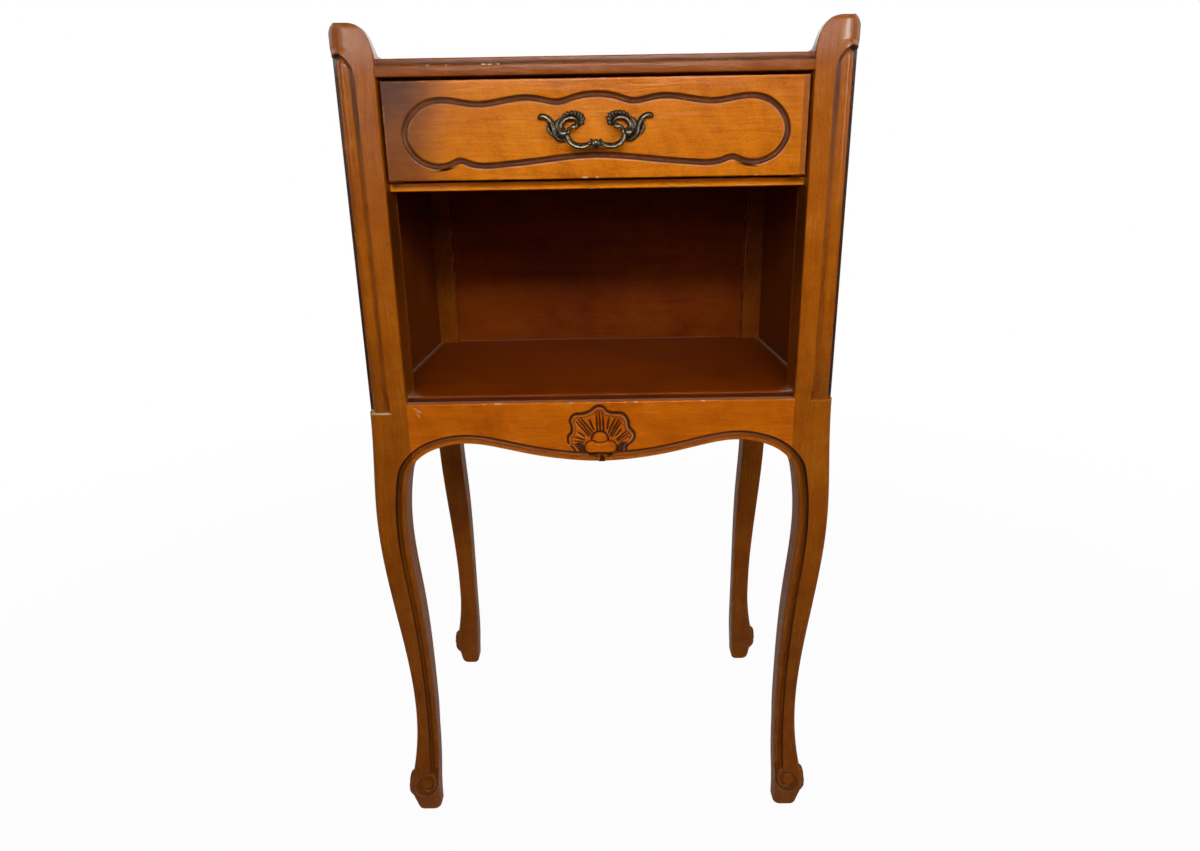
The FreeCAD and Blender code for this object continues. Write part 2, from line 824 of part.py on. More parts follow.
def drawer_front():
    low = at(-drawer_half_width, drawer_setback, drawer_front_foot)
    board = block(low, at(drawer_half_width, drawer_front_back, drawer_front_top))
    inner = drawer_half_width - drawer_side_thickness
    behind = drawer_front_back + overrun
    lap_low = at(inner, drawer_front_back - drawer_lap, drawer_front_foot - overrun)
    lap = block(lap_low, at(drawer_half_width + overrun, behind, drawer_side_top + glue_gap))
    board = board.cut([lap, mirrored(lap)])
    slot_low = at(-inner, drawer_front_back - drawer_bottom_grip, drawer_bottom_foot)
    board = board.cut(block(slot_low, at(inner, behind, drawer_bottom_top)))
    ring = Part.Face(cartouche_edge(groove_width / 2)).cut(Part.Face(cartouche_edge(-groove_width / 2)))
    board = board.cut(ring.extrude(Y_AXIS * groove_depth))
    hole_length = drawer_front_thickness + overrun + overrun
    for side in SIDES.values():
        place = at(side * pull_spread, drawer_setback - overrun, pull_z)
        board = board.cut(Part.makeCylinder(stud_radius + stud_play, hole_length, place, Y_AXIS))
    return board


def drawer_side(side):
    low = at(drawer_half_width - drawer_side_thickness, drawer_front_back - drawer_lap, drawer_side_foot)
    board = block(low, at(drawer_half_width, drawer_box_back, drawer_side_top))
    return sided(board.cut(drawer_bottom()), side)


def drawer_back():
    reach = drawer_half_width - drawer_side_thickness
    low = at(-reach, drawer_box_back - drawer_side_thickness, drawer_bottom_top)
    board = block(low, at(reach, drawer_box_back, drawer_side_top))
    for item in drawer_bottom_screw_list():
        board = board.cut(item)
    return board


def drawer_bottom():
    reach = drawer_half_width - drawer_side_thickness + drawer_bottom_grip
    inner = drawer_half_width - drawer_side_thickness
    low = at(-reach, drawer_front_back, drawer_bottom_foot)
    panel = block(low, at(reach, drawer_box_back, drawer_bottom_top))
    tongue_low = at(-inner, drawer_front_back - drawer_bottom_grip, drawer_bottom_foot)
    panel = panel.fuse(block(tongue_low, at(inner, drawer_front_back, drawer_bottom_top))).removeSplitter()
    for item in drawer_bottom_screw_list():
        panel = panel.cut(item)
    return panel


def drawer_bottom_screw_list():
    """Screws that go up through the drawer's bottom into its back."""
    y = drawer_box_back - drawer_side_thickness / 2
    first = -bottom_screw_spacing * (screws_in_bottom - 1) / 2
    screws = []
    for index in range(screws_in_bottom):
        place = at(first + bottom_screw_spacing * index, y, drawer_bottom_foot)
        screws.append(screw(place, Z_AXIS, bottom_screw_length))
    return screws


def plate_point(shares):
    """Point of the right-hand plate's outline, from shares of its size about its stud."""
    across, height = shares
    level = pull_z + plate_lift + plate_height * height
    return at(pull_spread + plate_width * across, drawer_setback, level)


def pull_plate(side):
    """Leafy back plate of the pull with the lug that carries one pin of the bail."""
    points = [plate_point(shares) for shares in plate_outline_shares]
    outline = Part.BSplineCurve()
    outline.interpolate(Points=points, PeriodicFlag=True)
    plate = Part.Face(Part.Wire(outline.toShape())).extrude(Y_AXIS * -plate_thickness)
    eye = Part.Ellipse(plate_point(plate_eye_shares), plate_eye_width / 2, plate_eye_height / 2)
    eye.Axis = Y_AXIS
    hole = Part.Face(Part.Wire(eye.toShape())).extrude(Y_AXIS * -plate_thickness)
    plate = plate.cut(hole)
    lug_start = bail_half_width + bail_radius + lug_gap
    lug_place = at(lug_start, pivot_y, pull_z)
    lug = Part.makeCylinder(lug_radius, lug_length, lug_place, X_AXIS)
    neck_low = at(lug_start, pivot_y, pull_z - lug_radius)
    neck = block(neck_low, at(lug_start + lug_length, drawer_setback, pull_z + lug_radius))
    bore = Part.makeCylinder(pin_radius + pin_play, lug_length, lug_place, X_AXIS)
    return sided(plate.fuse([lug, neck]).removeSplitter().cut(bore), side)


def pull_bail():
    """Swinging loop: a round bar bent into a U, two pins at its ends and a knot in the middle."""
    radius = bail_drop
    top = at(bail_half_width, pivot_y, pull_z)
    bend = at(bail_half_width - radius, pivot_y, pull_z - bail_drop)
    centre = at(bail_half_width - radius, pivot_y, pull_z)
    middle = centre + at(radius * diagonal_share, 0, -radius * diagonal_share)
    path = Part.Wire([
        arc(top, middle, bend),
        line(bend, at(-bend.x, bend.y, bend.z)),
        arc(at(-bend.x, bend.y, bend.z), at(-middle.x, middle.y, middle.z), at(-top.x, top.y, top.z)),
    ])
    section = Part.Wire(Part.makeCircle(bail_radius, top, Z_AXIS))
    bar = path.makePipeShell([section], True, False)
    knot_place = at(-bail_knot_length / 2, pivot_y, bend.z)
    knot = Part.makeCylinder(bail_knot_radius, bail_knot_length, knot_place, X_AXIS)
    shoulder = Part.makeSphere(bail_radius, top)
    pin = Part.makeCylinder(pin_radius, bail_radius + lug_gap + lug_length, top, X_AXIS)
    return bar.fuse([knot, shoulder, mirrored(shoulder), pin, mirrored(pin)]).removeSplitter()


def stud_end():
    """Depth at which the pull's studs end behind their nuts."""
    return drawer_front_back + washer_thickness + nut_height + stud_spare


def pull_studs():
    place = at(pull_spread, drawer_setback, pull_z)
    stud = Part.makeCylinder(stud_radius, stud_end() - drawer_setback, place, Y_AXIS)
    return both_sides([stud])


def pull_washers():
    place = at(pull_spread, drawer_front_back, pull_z)
    disc = Part.makeCylinder(washer_radius, washer_thickness, place, Y_AXIS)
    hole = Part.makeCylinder(stud_radius, washer_thickness, place, Y_AXIS)
    return both_sides([disc.cut(hole)])


def pull_nuts():
    place = at(pull_spread, drawer_front_back + washer_thickness, pull_z)
    corner_reach = nut_width / 2 / math.cos(math.pi / nut_sides)
    points = []
    for index in range(nut_sides):
        turn = math.tau * index / nut_sides
        points.append(place + at(corner_reach * math.cos(turn), 0, corner_reach * math.sin(turn)))
    nut = polygon(points).extrude(Y_AXIS * nut_height)
    hole = Part.makeCylinder(stud_radius, nut_height, place, Y_AXIS)
    return both_sides([nut.cut(hole)])


def drawer_bottom_screws():
    return Part.makeCompound(drawer_bottom_screw_list())


def pieces():
    """Every piece of the cabinet by its name."""
    found = {}
    for name, side in SIDES.items():
        found["front_leg_" + name] = front_leg(side, leg_height + finger_foot_rises[name])
        found["back_leg_" + name] = back_leg(side)
        found["side_panel_" + name] = side_panel(side)
        found["top_cleat_" + name] = top_cleat(side)
        found["shelf_cleat_" + name] = shelf_cleat(side)
        found["drawer_guide_" + name] = drawer_guide(side)
        found["drawer_side_" + name] = drawer_side(side)
        found["pull_plate_" + name] = pull_plate(side)
    single = [front_apron, back_top_rail, back_bottom_rail, back_panel, top_board, top_lipping, shelf,
              drawer_rail, dust_panel, drawer_stops, glue_blocks, drawer_front, drawer_back, drawer_bottom,
              drawer_bottom_screws, pull_bail, pull_studs, pull_washers, pull_nuts]
    for make in single:
        found[make.__name__] = make()
    found["top_cleat_screws"] = both_sides(top_cleat_screw_list())
    found["shelf_cleat_screws"] = both_sides(shelf_cleat_screw_list())
    return found


os.makedirs("parts", exist_ok=True)
for piece_name, shape in pieces().items():
    shape.translate(Y_AXIS * -middle_y)
    shape.exportStep("parts/" + piece_name + ".step")
    box = shape.BoundBox
    sizes = (round(box.XLength, 1), round(box.YLength, 1), round(box.ZLength, 1))
    print(piece_name, len(shape.Solids), "solids, valid", shape.isValid(), "size", sizes)
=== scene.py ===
"""Looks of a bedside cabinet: stained wood, carved apron, grooved drawer and a brass pull.

Shapes are drawn in millimetres (x across from the middle, y back from the front face of the posts,
z up from the floor) and turned into the frame's metres when a mesh is made.
"""
import logging
import math
from dataclasses import dataclass, field
from enum import Enum
from typing import Callable, Optional, Sequence, Union

import bmesh
import bpy
import numpy as np
from bpy.types import Material, Mesh, Node, NodeSocket, NodeTree, Object
from mathutils import Matrix, Vector


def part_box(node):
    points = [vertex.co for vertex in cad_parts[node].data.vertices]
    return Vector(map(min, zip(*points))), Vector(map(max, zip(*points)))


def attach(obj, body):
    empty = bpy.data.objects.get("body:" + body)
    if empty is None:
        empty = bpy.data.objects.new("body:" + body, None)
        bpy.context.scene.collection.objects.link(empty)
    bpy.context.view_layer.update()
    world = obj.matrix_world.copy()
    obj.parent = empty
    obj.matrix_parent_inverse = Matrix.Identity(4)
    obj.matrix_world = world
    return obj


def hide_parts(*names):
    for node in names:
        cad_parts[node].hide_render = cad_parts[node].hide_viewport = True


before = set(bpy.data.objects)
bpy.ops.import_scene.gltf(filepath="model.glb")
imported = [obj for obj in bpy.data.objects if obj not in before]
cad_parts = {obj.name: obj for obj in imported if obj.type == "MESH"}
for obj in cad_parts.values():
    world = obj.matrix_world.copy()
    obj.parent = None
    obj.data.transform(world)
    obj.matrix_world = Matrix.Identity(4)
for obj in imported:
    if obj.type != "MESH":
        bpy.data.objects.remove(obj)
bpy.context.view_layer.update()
LOG = logging.getLogger("cabinet")

MM = 0.001
DRAWER_SETBACK = 3.0
FRONT_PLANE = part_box("drawer_front")[0].y / MM - DRAWER_SETBACK
WELD = 2e-6
CREASE = math.radians(38.0)
BEYOND_MOULDING = 20.0  # distance from the lower edge given to the plain wood above
CELL_FACTORS = (73856093, 19349663, 83492791)
SEED_FACTOR = 2654435761
STIR_FACTOR = 1274126177
SEED_SHIFT = 17.31  # cells between the patterns of two seeds
NOISE_MEAN = 0.5
WHITE = (1.0, 1.0, 1.0)

Colour = tuple[float, float, float]
Point2 = tuple[float, float]
Point3 = tuple[float, float, float]
Four = tuple[float, float, float, float]
Array = np.ndarray
FourArrays = tuple[Array, Array, Array, Array]
Shape = Callable[[Array], Array]


class Side(Enum):
    """Left or right half of the cabinet, with the sign of x there."""

    LEFT = -1
    RIGHT = 1

    @property
    def word(self) -> str:
        """Ending of the names of the nodes on this side."""
        return self.name.lower()


class Row(Enum):
    """Front or back pair of posts."""

    FRONT = "front"
    BACK = "back"


class Grain(Enum):
    """Direction of the wood's grain, as the turn that lays it along the pattern's first axis."""

    ACROSS = (0.0, 0.0, 0.0)
    DEEP = (0.0, 0.0, -math.pi / 2)
    UPRIGHT = (0.0, math.pi / 2, 0.0)


def eased(low: float, high: float, value: Array) -> Array:
    """Eased share of the way from low to high.

    Args:
        low: Value at which the share is 0.
        high: Value at which the share is 1.
        value: Values to place between them.

    Returns:
        Shares from 0 to 1.
    """
    share = np.clip((value - low) / (high - low), 0.0, 1.0)
    return share * share * (3.0 - 2.0 * share)


def between(start: Array, end: Array, shares: Sequence[float]) -> Array:
    """Columns spread between a start and an end value of each row.

    Args:
        start: Value of each row at share 0.
        end: Value of each row at share 1.
        shares: Shares of the way, one for each column.

    Returns:
        Array of rows by columns.
    """
    return start[:, None] + (end - start)[:, None] * np.asarray(shares)[None, :]


def level(values: Array, count: int) -> Array:
    """The same value of each row in a number of columns."""
    return np.repeat(values[:, None], count, 1)


def even_shares(count: int, whole: float = 1.0) -> Array:
    """Even steps up to the whole, without the start."""
    return np.linspace(0.0, whole, count + 1)[1:]


def fair_line(places: Sequence[float], values: Sequence[float], first_slope: Optional[float] = None,
              last_slope: Optional[float] = None) -> Shape:
    """Fair curve through points, like a batten bent round pins.

    Args:
        places: Growing places of the pins.
        values: Height of the curve at each pin.
        first_slope: Slope at the first pin, or None to leave the end free.
        last_slope: Slope at the last pin, or None to leave the end free.

    Returns:
        Function that gives the curve's height at any places.
    """
    x = np.asarray(places, float)
    y = np.asarray(values, float)
    gaps = np.diff(x)
    rises = np.diff(y) / gaps
    count = len(x)
    matrix = np.zeros((count, count))
    right = np.zeros(count)
    for index in range(1, count - 1):
        matrix[index, index - 1:index + 2] = gaps[index - 1], 2 * (gaps[index - 1] + gaps[index]), gaps[index]
        right[index] = 6 * (rises[index] - rises[index - 1])
    matrix[0, 0] = matrix[-1, -1] = 1.0
    if first_slope is not None:
        matrix[0, :2] = 2 * gaps[0], gaps[0]
        right[0] = 6 * (rises[0] - first_slope)
    if last_slope is not None:
        matrix[-1, -2:] = gaps[-1], 2 * gaps[-1]
        right[-1] = 6 * (last_slope - rises[-1])
    bend = np.linalg.solve(matrix, right)

    def height(at: Array) -> Array:
        """Height of the curve.

        Args:
            at: Places.

        Returns:
            Heights at the places.
        """
        q = np.clip(at, x[0], x[-1])
        i = np.clip(np.searchsorted(x, q) - 1, 0, count - 2)
        near, far = x[i + 1] - q, q - x[i]
        ends = (bend[i] * near ** 3 + bend[i + 1] * far ** 3) / (6 * gaps[i])
        fall = y[i] / gaps[i] - bend[i] * gaps[i] / 6
        climb = y[i + 1] / gaps[i] - bend[i + 1] * gaps[i] / 6
        return ends + fall * near + climb * far

    return height


def fair_path(points: Sequence[Point2], samples: int, closed: bool = False) -> Array:
    """Evenly spaced points on a fair curve through points in a plane.

    Args:
        points: Points that the curve goes through.
        samples: Number of points wanted.
        closed: True for a loop.

    Returns:
        Array of samples by 2.
    """
    pins = np.asarray(points, float)
    wrap = 4
    if closed:
        pins = np.concatenate([pins[-wrap:], pins, pins[:wrap + 1]])
    along = np.concatenate([[0.0], np.cumsum(np.linalg.norm(np.diff(pins, axis=0), axis=1))])
    lines = [fair_line(along, pins[:, axis]) for axis in (0, 1)]
    start, end = (along[wrap], along[-wrap - 1]) if closed else (along[0], along[-1])
    fine = np.linspace(start, end, samples * 12)
    track = np.stack([line(fine) for line in lines], -1)
    run = np.concatenate([[0.0], np.cumsum(np.linalg.norm(np.diff(track, axis=0), axis=1))])
    wanted = np.linspace(0.0, run[-1], samples, endpoint=not closed)
    return np.stack([np.interp(wanted, run, track[:, axis]) for axis in (0, 1)], -1)


def speckle(points: Array, cell: float, seed: int) -> Array:
    """Smooth random values in space, the same on every run.

    Args:
        points: Places, as an array whose last axis is x, y, z.
        cell: Size of one speck, in the points' unit.
        seed: Which pattern.

    Returns:
        Values from 0 to 1.
    """
    q = np.asarray(points, float) / cell + seed * SEED_SHIFT
    base = np.floor(q).astype(np.int64)
    part = q - base
    part = part * part * (3.0 - 2.0 * part)
    total = np.zeros(q.shape[:-1])
    for corner in range(8):
        step = np.array([corner & 1, corner >> 1 & 1, corner >> 2 & 1])
        x, y, z = np.moveaxis((base + step) * np.array(CELL_FACTORS), -1, 0)
        mixed = x ^ y ^ z ^ seed * SEED_FACTOR
        mixed = (mixed ^ (mixed >> 13)) * STIR_FACTOR & 0x7FFFFFFF
        value = (mixed ^ (mixed >> 16)) % 65536 / 65535.0
        weight = np.prod(np.where(step, part, 1.0 - part), axis=-1)
        total += value * weight
    return total


def edge_distance(points: Array, line: Array) -> Array:
    """Distance of points in a plane to a chain of short straight runs.

    Args:
        points: Array of n by 2.
        line: Array of m by 2, the chain's corners.

    Returns:
        Array of n distances.
    """
    best = np.full(len(points), np.inf)
    for start, end in zip(line[:-1], line[1:]):
        run = end - start
        share = np.clip((points - start) @ run / max(run @ run, 1e-9), 0.0, 1.0)
        best = np.minimum(best, np.linalg.norm(points - start - share[:, None] * run, axis=1))
    return best


def inside_loop(points: Array, loop: Array) -> Array:
    """Tells which points in a plane lie inside a closed chain.

    Args:
        points: Array of n by 2.
        loop: Array of m by 2, the chain's corners.

    Returns:
        Array of n truth values.
    """
    found = np.zeros(len(points), bool)
    for start, end in zip(loop, np.roll(loop, -1, axis=0)):
        spans = (start[1] > points[:, 1]) != (end[1] > points[:, 1])
        rise = end[1] - start[1]
        cross = start[0] + (points[:, 1] - start[1]) / (rise if rise else 1e-9) * (end[0] - start[0])
        found ^= spans & (points[:, 0] < cross)
    return found


class Piece:
    """A mesh in the making: points in drawing millimetres, faces, and marks on the points for the finish."""

    MARKS = ("glaze", "bare", "dust")

    def __init__(self, name: str) -> None:
        """Starts an empty piece.

        Args:
            name: Name that its object will have.
        """
        self.name = name
        self.points: list[Array] = []
        self.faces: list[tuple[int, ...]] = []
        self.marks: dict[str, list[Array]] = {mark: [] for mark in self.MARKS}
        self.count = 0

    def add_points(self, points: Array, **marks: Array) -> int:
        """Adds points with their marks.

        Args:
            points: Array whose last axis is x, y, z.
            marks: Values from 0 to 1, one for each point, for any of the three marks: dark glaze with painted
                shade, wear with painted highlights, and dust with painted sheen.

        Returns:
            Number of the first point added.
        """
        flat = np.asarray(points, float).reshape(-1, 3)
        first = self.count
        self.points.append(flat)
        for mark in self.MARKS:
            value = np.asarray(marks.get(mark, 0.0), float)
            self.marks[mark].append(np.broadcast_to(value.reshape(-1) if value.ndim else value, (len(flat),)))
        self.count += len(flat)
        return first

    def add_grid(self, points: Array, round_trip: bool = False, caps: bool = False,
                 **marks: Array) -> int:
        """Adds a sheet of four-sided faces.

        Args:
            points: Array of rows by columns by 3.
            round_trip: True if the last column joins the first.
            caps: True to close the first and last rows with flat faces.
            marks: Marks of the points, as in add_points.

        Returns:
            Number of the first point added.
        """
        rows, columns = points.shape[:2]
        first = self.add_points(points, **marks)
        last = columns if round_trip else columns - 1
        for row in range(rows - 1):
            near, far = first + row * columns, first + (row + 1) * columns
            for column in range(last):
                after = (column + 1) % columns
                self.faces.append((near + column, near + after, far + after, far + column))
        if caps:
            self.faces.append(tuple(range(first + columns - 1, first - 1, -1)))
            top = first + (rows - 1) * columns
            self.faces.append(tuple(range(top, top + columns)))
        return first

    def add_block(self, low: Sequence[float], high: Sequence[float], ease: float = 0.6) -> None:
        """Adds a planed block with its long edges eased.

        Args:
            low: Lowest corner.
            high: Highest corner.
            ease: Size of the small flats along its edges.
        """
        low, high = np.asarray(low, float), np.asarray(high, float)
        rings = []
        for x, shrink in ((low[0], ease), (low[0] + ease, 0.0), (high[0] - ease, 0.0), (high[0], ease)):
            y0, y1, z0, z1 = low[1] + shrink, high[1] - shrink, low[2] + shrink, high[2] - shrink
            rings.append([(x, y0 + ease, z0), (x, y1 - ease, z0), (x, y1, z0 + ease), (x, y1, z1 - ease),
                          (x, y1 - ease, z1), (x, y0 + ease, z1), (x, y0, z1 - ease), (x, y0, z0 + ease)])
        self.add_grid(np.array(rings), round_trip=True, caps=True)

    def build(self, material: Material, crease: float = CREASE) -> Object:
        """Makes the object: welded, faces outwards, smooth apart from its creases.

        Args:
            material: Finish of the piece.
            crease: Angle between faces from which an edge looks sharp.

        Returns:
            The new object, at the origin.
        """
        mesh = bpy.data.meshes.new(self.name)
        points = np.concatenate(self.points)
        placed = (points + np.array([0.0, FRONT_PLANE, 0.0])) * MM
        mesh.from_pydata(placed.tolist(), [], self.faces)
        for mark in self.MARKS:
            layer = mesh.attributes.new(mark, "FLOAT", "POINT")
            layer.data.foreach_set("value", np.concatenate(self.marks[mark]).astype(np.float32))
        welded(mesh, dissolve=True)
        return finished(self.name, mesh, material, crease)


def welded(mesh: Mesh, dissolve: bool = False) -> None:
    """Joins the points of a mesh that coincide and turns its faces outwards.

    Args:
        mesh: The mesh.
        dissolve: True to take out faces without area as well.
    """
    work = bmesh.new()
    work.from_mesh(mesh)
    bmesh.ops.remove_doubles(work, verts=work.verts, dist=WELD)
    if dissolve:
        bmesh.ops.dissolve_degenerate(work, edges=work.edges, dist=WELD)
    bmesh.ops.recalc_face_normals(work, faces=work.faces)
    work.to_mesh(mesh)
    work.free()


def finished(name: str, mesh: Mesh, material: Material,
             crease: float = CREASE) -> Object:
    """Object for a mesh, smooth shaded and with its finish.

    Args:
        name: Name of the object.
        mesh: Its mesh.
        material: Its finish.
        crease: Angle between faces from which an edge looks sharp.

    Returns:
        The new object in the scene, at the origin.
    """
    mesh.materials.clear()
    mesh.materials.append(material)
    mesh.polygons.foreach_set("use_smooth", np.ones(len(mesh.polygons), bool))
    mesh.set_sharp_from_angle(angle=crease)
    thing = bpy.data.objects.new(name, mesh)
    bpy.context.scene.collection.objects.link(thing)
    return thing


def stand_for(thing: Object, body: str, slot: str, *nodes: str) -> None:
    """Puts a made piece in place of CAD nodes.

    Args:
        thing: The made piece.
        body: Body that it moves with.
        slot: Material slot of the record; not used.
        nodes: CAD nodes that it stands for.
    """
    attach(thing, body)
    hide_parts(*nodes)
    LOG.info("%s stands for %s: %d faces", thing.name, ", ".join(nodes), len(thing.data.polygons))


def dress(material: Material, *nodes: str) -> None:
    """Gives carried-over CAD nodes their finish.

    Args:
        material: The finish.
        nodes: Names of the nodes.
    """
    for node in nodes:
        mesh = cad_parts[node].data
        mesh.materials.clear()
        mesh.materials.append(material)
        LOG.info("%s keeps its CAD shape with %s", node, material.name)


class Value:
    """A number that varies over a surface, with the maths that the finishes write as expressions."""

    def __init__(self, graph: "Graph", socket: NodeSocket) -> None:
        """Wraps an output socket of a node in the graph."""
        self.graph = graph
        self.socket = socket

    def _math(self, operation: str, first: "Operand", second: "Operand" = 0.0) -> "Value":
        """Result of a Math node on one or two operands."""
        return self.graph.value("ShaderNodeMath", {"operation": operation}, {0: first, 1: second})

    def __add__(self, other: "Operand") -> "Value":
        """Sum."""
        return self._math("ADD", self, other)

    def __radd__(self, other: "Operand") -> "Value":
        """Sum, with the number first."""
        return self._math("ADD", other, self)

    def __sub__(self, other: "Operand") -> "Value":
        """Difference."""
        return self._math("SUBTRACT", self, other)

    def __rsub__(self, other: "Operand") -> "Value":
        """Difference, with the number first."""
        return self._math("SUBTRACT", other, self)

    def __mul__(self, other: "Operand") -> "Value":
        """Product."""
        return self._math("MULTIPLY", self, other)

    def __rmul__(self, other: "Operand") -> "Value":
        """Product, with the number first."""
        return self._math("MULTIPLY", other, self)

    def __abs__(self) -> "Value":
        """Size without sign."""
        return self._math("ABSOLUTE", self)

    @property
    def swing(self) -> "Value":
        """How far noise lies from its mean."""
        return self - NOISE_MEAN

    def least(self, other: "Operand") -> "Value":
        """The smaller of two values."""
        return self._math("MINIMUM", self, other)

    def most(self, other: "Operand") -> "Value":
        """The larger of two values."""
        return self._math("MAXIMUM", self, other)

    def eased(self, low: float, high: float) -> "Value":
        """Eased share of the way from low, where it is 0, to high, where it is 1."""
        return self.graph.value("ShaderNodeMapRange", {"interpolation_type": "SMOOTHSTEP"},
                                {"Value": self, "From Min": low, "From Max": high})


Operand = Union[Value, float]
Socket = Union[Value, NodeSocket, float, Sequence[float]]


class Graph:
    """Node tree of one finish or of the world."""

    def __init__(self, tree: NodeTree) -> None:
        """Starts with an emptied tree."""
        self.tree = tree
        tree.nodes.clear()

    def node(self, kind: str, settings: Optional[dict] = None,
             inputs: Optional[dict] = None) -> Node:
        """Adds a node.

        Args:
            kind: The node's type.
            settings: Its settings, set first; "stops" gives a colour ramp's places and colours.
            inputs: Values or links of its sockets, by name or number.

        Returns:
            The new node.
        """
        made = self.tree.nodes.new(kind)
        for key, setting in (settings or {}).items():
            if key == "stops":
                while len(made.color_ramp.elements) < len(setting):
                    made.color_ramp.elements.new(1.0)
                for element, (place, colour) in zip(made.color_ramp.elements, setting):
                    element.position = place
                    element.color = (*colour, 1.0)
            else:
                setattr(made, key, setting)
        for key, given in (inputs or {}).items():
            socket = made.inputs[key]
            source = given.socket if isinstance(given, Value) else given
            if isinstance(source, NodeSocket):
                self.tree.links.new(source, socket)
            elif isinstance(source, (tuple, list)) and len(source) == 3 and socket.type == "RGBA":
                socket.default_value = (*source, 1.0)
            else:
                socket.default_value = source
        return made

    def value(self, kind: str, settings: Optional[dict] = None, inputs: Optional[dict] = None,
              output: Union[int, str] = 0) -> Value:
        """Adds a node and gives one of its outputs, by name or number, as a value."""
        return Value(self, self.node(kind, settings, inputs).outputs[output])

    def mix(self, share: Operand, first: Socket, second: Socket, blend: str = "MIX") -> NodeSocket:
        """Mixes two colours by the share of the second."""
        settings = {"data_type": "RGBA", "blend_type": blend, "clamp_factor": True}
        return self.node("ShaderNodeMix", settings, {0: share, 6: first, 7: second}).outputs[2]

    def place(self) -> NodeSocket:
        """Object coordinates."""
        return self.node("ShaderNodeTexCoord").outputs["Object"]

    def axes(self, vector: Socket) -> list[Value]:
        """The three parts of a vector."""
        parts = self.node("ShaderNodeSeparateXYZ", None, {0: vector}).outputs
        return [Value(self, part) for part in parts]

    def vector(self, operation: str, first: Socket, second: Socket) -> NodeSocket:
        """Result of maths on two vectors."""
        return self.node("ShaderNodeVectorMath", {"operation": operation}, {0: first, 1: second}).outputs[0]

    def bump(self, distance: float, height: Operand) -> NodeSocket:
        """Normal of a surface with a fine relief."""
        inputs = {"Strength": 1.0, "Distance": distance, "Height": height}
        return self.node("ShaderNodeBump", None, inputs).outputs[0]

    def turned(self, vector: Socket, shift: Point3 = (0.0, 0.0, 0.0), turn: Point3 = (0.0, 0.0, 0.0),
               stretch: Point3 = (1.0, 1.0, 1.0)) -> NodeSocket:
        """Shifts coordinates in metres, turns them in radians and stretches them along each axis."""
        return self.node("ShaderNodeMapping", {"vector_type": "POINT"},
                         {"Vector": vector, "Location": shift, "Rotation": turn, "Scale": stretch}).outputs[0]

    def cloud(self, vector: Socket, scale: float = 1.0, detail: float = 3.0, roughness: float = 0.5) -> Value:
        """Noise from 0 to 1 at coordinates, with layers of finer noise of a given weight."""
        return self.value("ShaderNodeTexNoise", {"noise_dimensions": "3D"},
                          {"Vector": vector, "Scale": scale, "Detail": detail, "Roughness": roughness})

    def mark(self, name: str) -> Value:
        """A mark that a made piece carries on its points."""
        return self.value("ShaderNodeAttribute", {"attribute_name": name}, output="Fac")

    def surface(self, fixed: dict, **varying: Socket) -> None:
        """Ends the tree in a surface shader.

        Args:
            fixed: Values that are the same all over, by socket name.
            varying: Links for Base_Color, Roughness, Metallic, Coat_Weight and Normal.
        """
        inputs = dict(fixed)
        inputs.update({name.replace("_", " "): link for name, link in varying.items()})
        shader = self.node("ShaderNodeBsdfPrincipled", None, inputs)
        self.node("ShaderNodeOutputMaterial", None, {"Surface": shader.outputs[0]})


def new_graph(name: str) -> tuple[Material, Graph]:
    """Starts a finish.

    Args:
        name: Name of the material.

    Returns:
        The material and its emptied tree.
    """
    material = bpy.data.materials.new(name)
    material.use_nodes = True
    return material, Graph(material.node_tree)


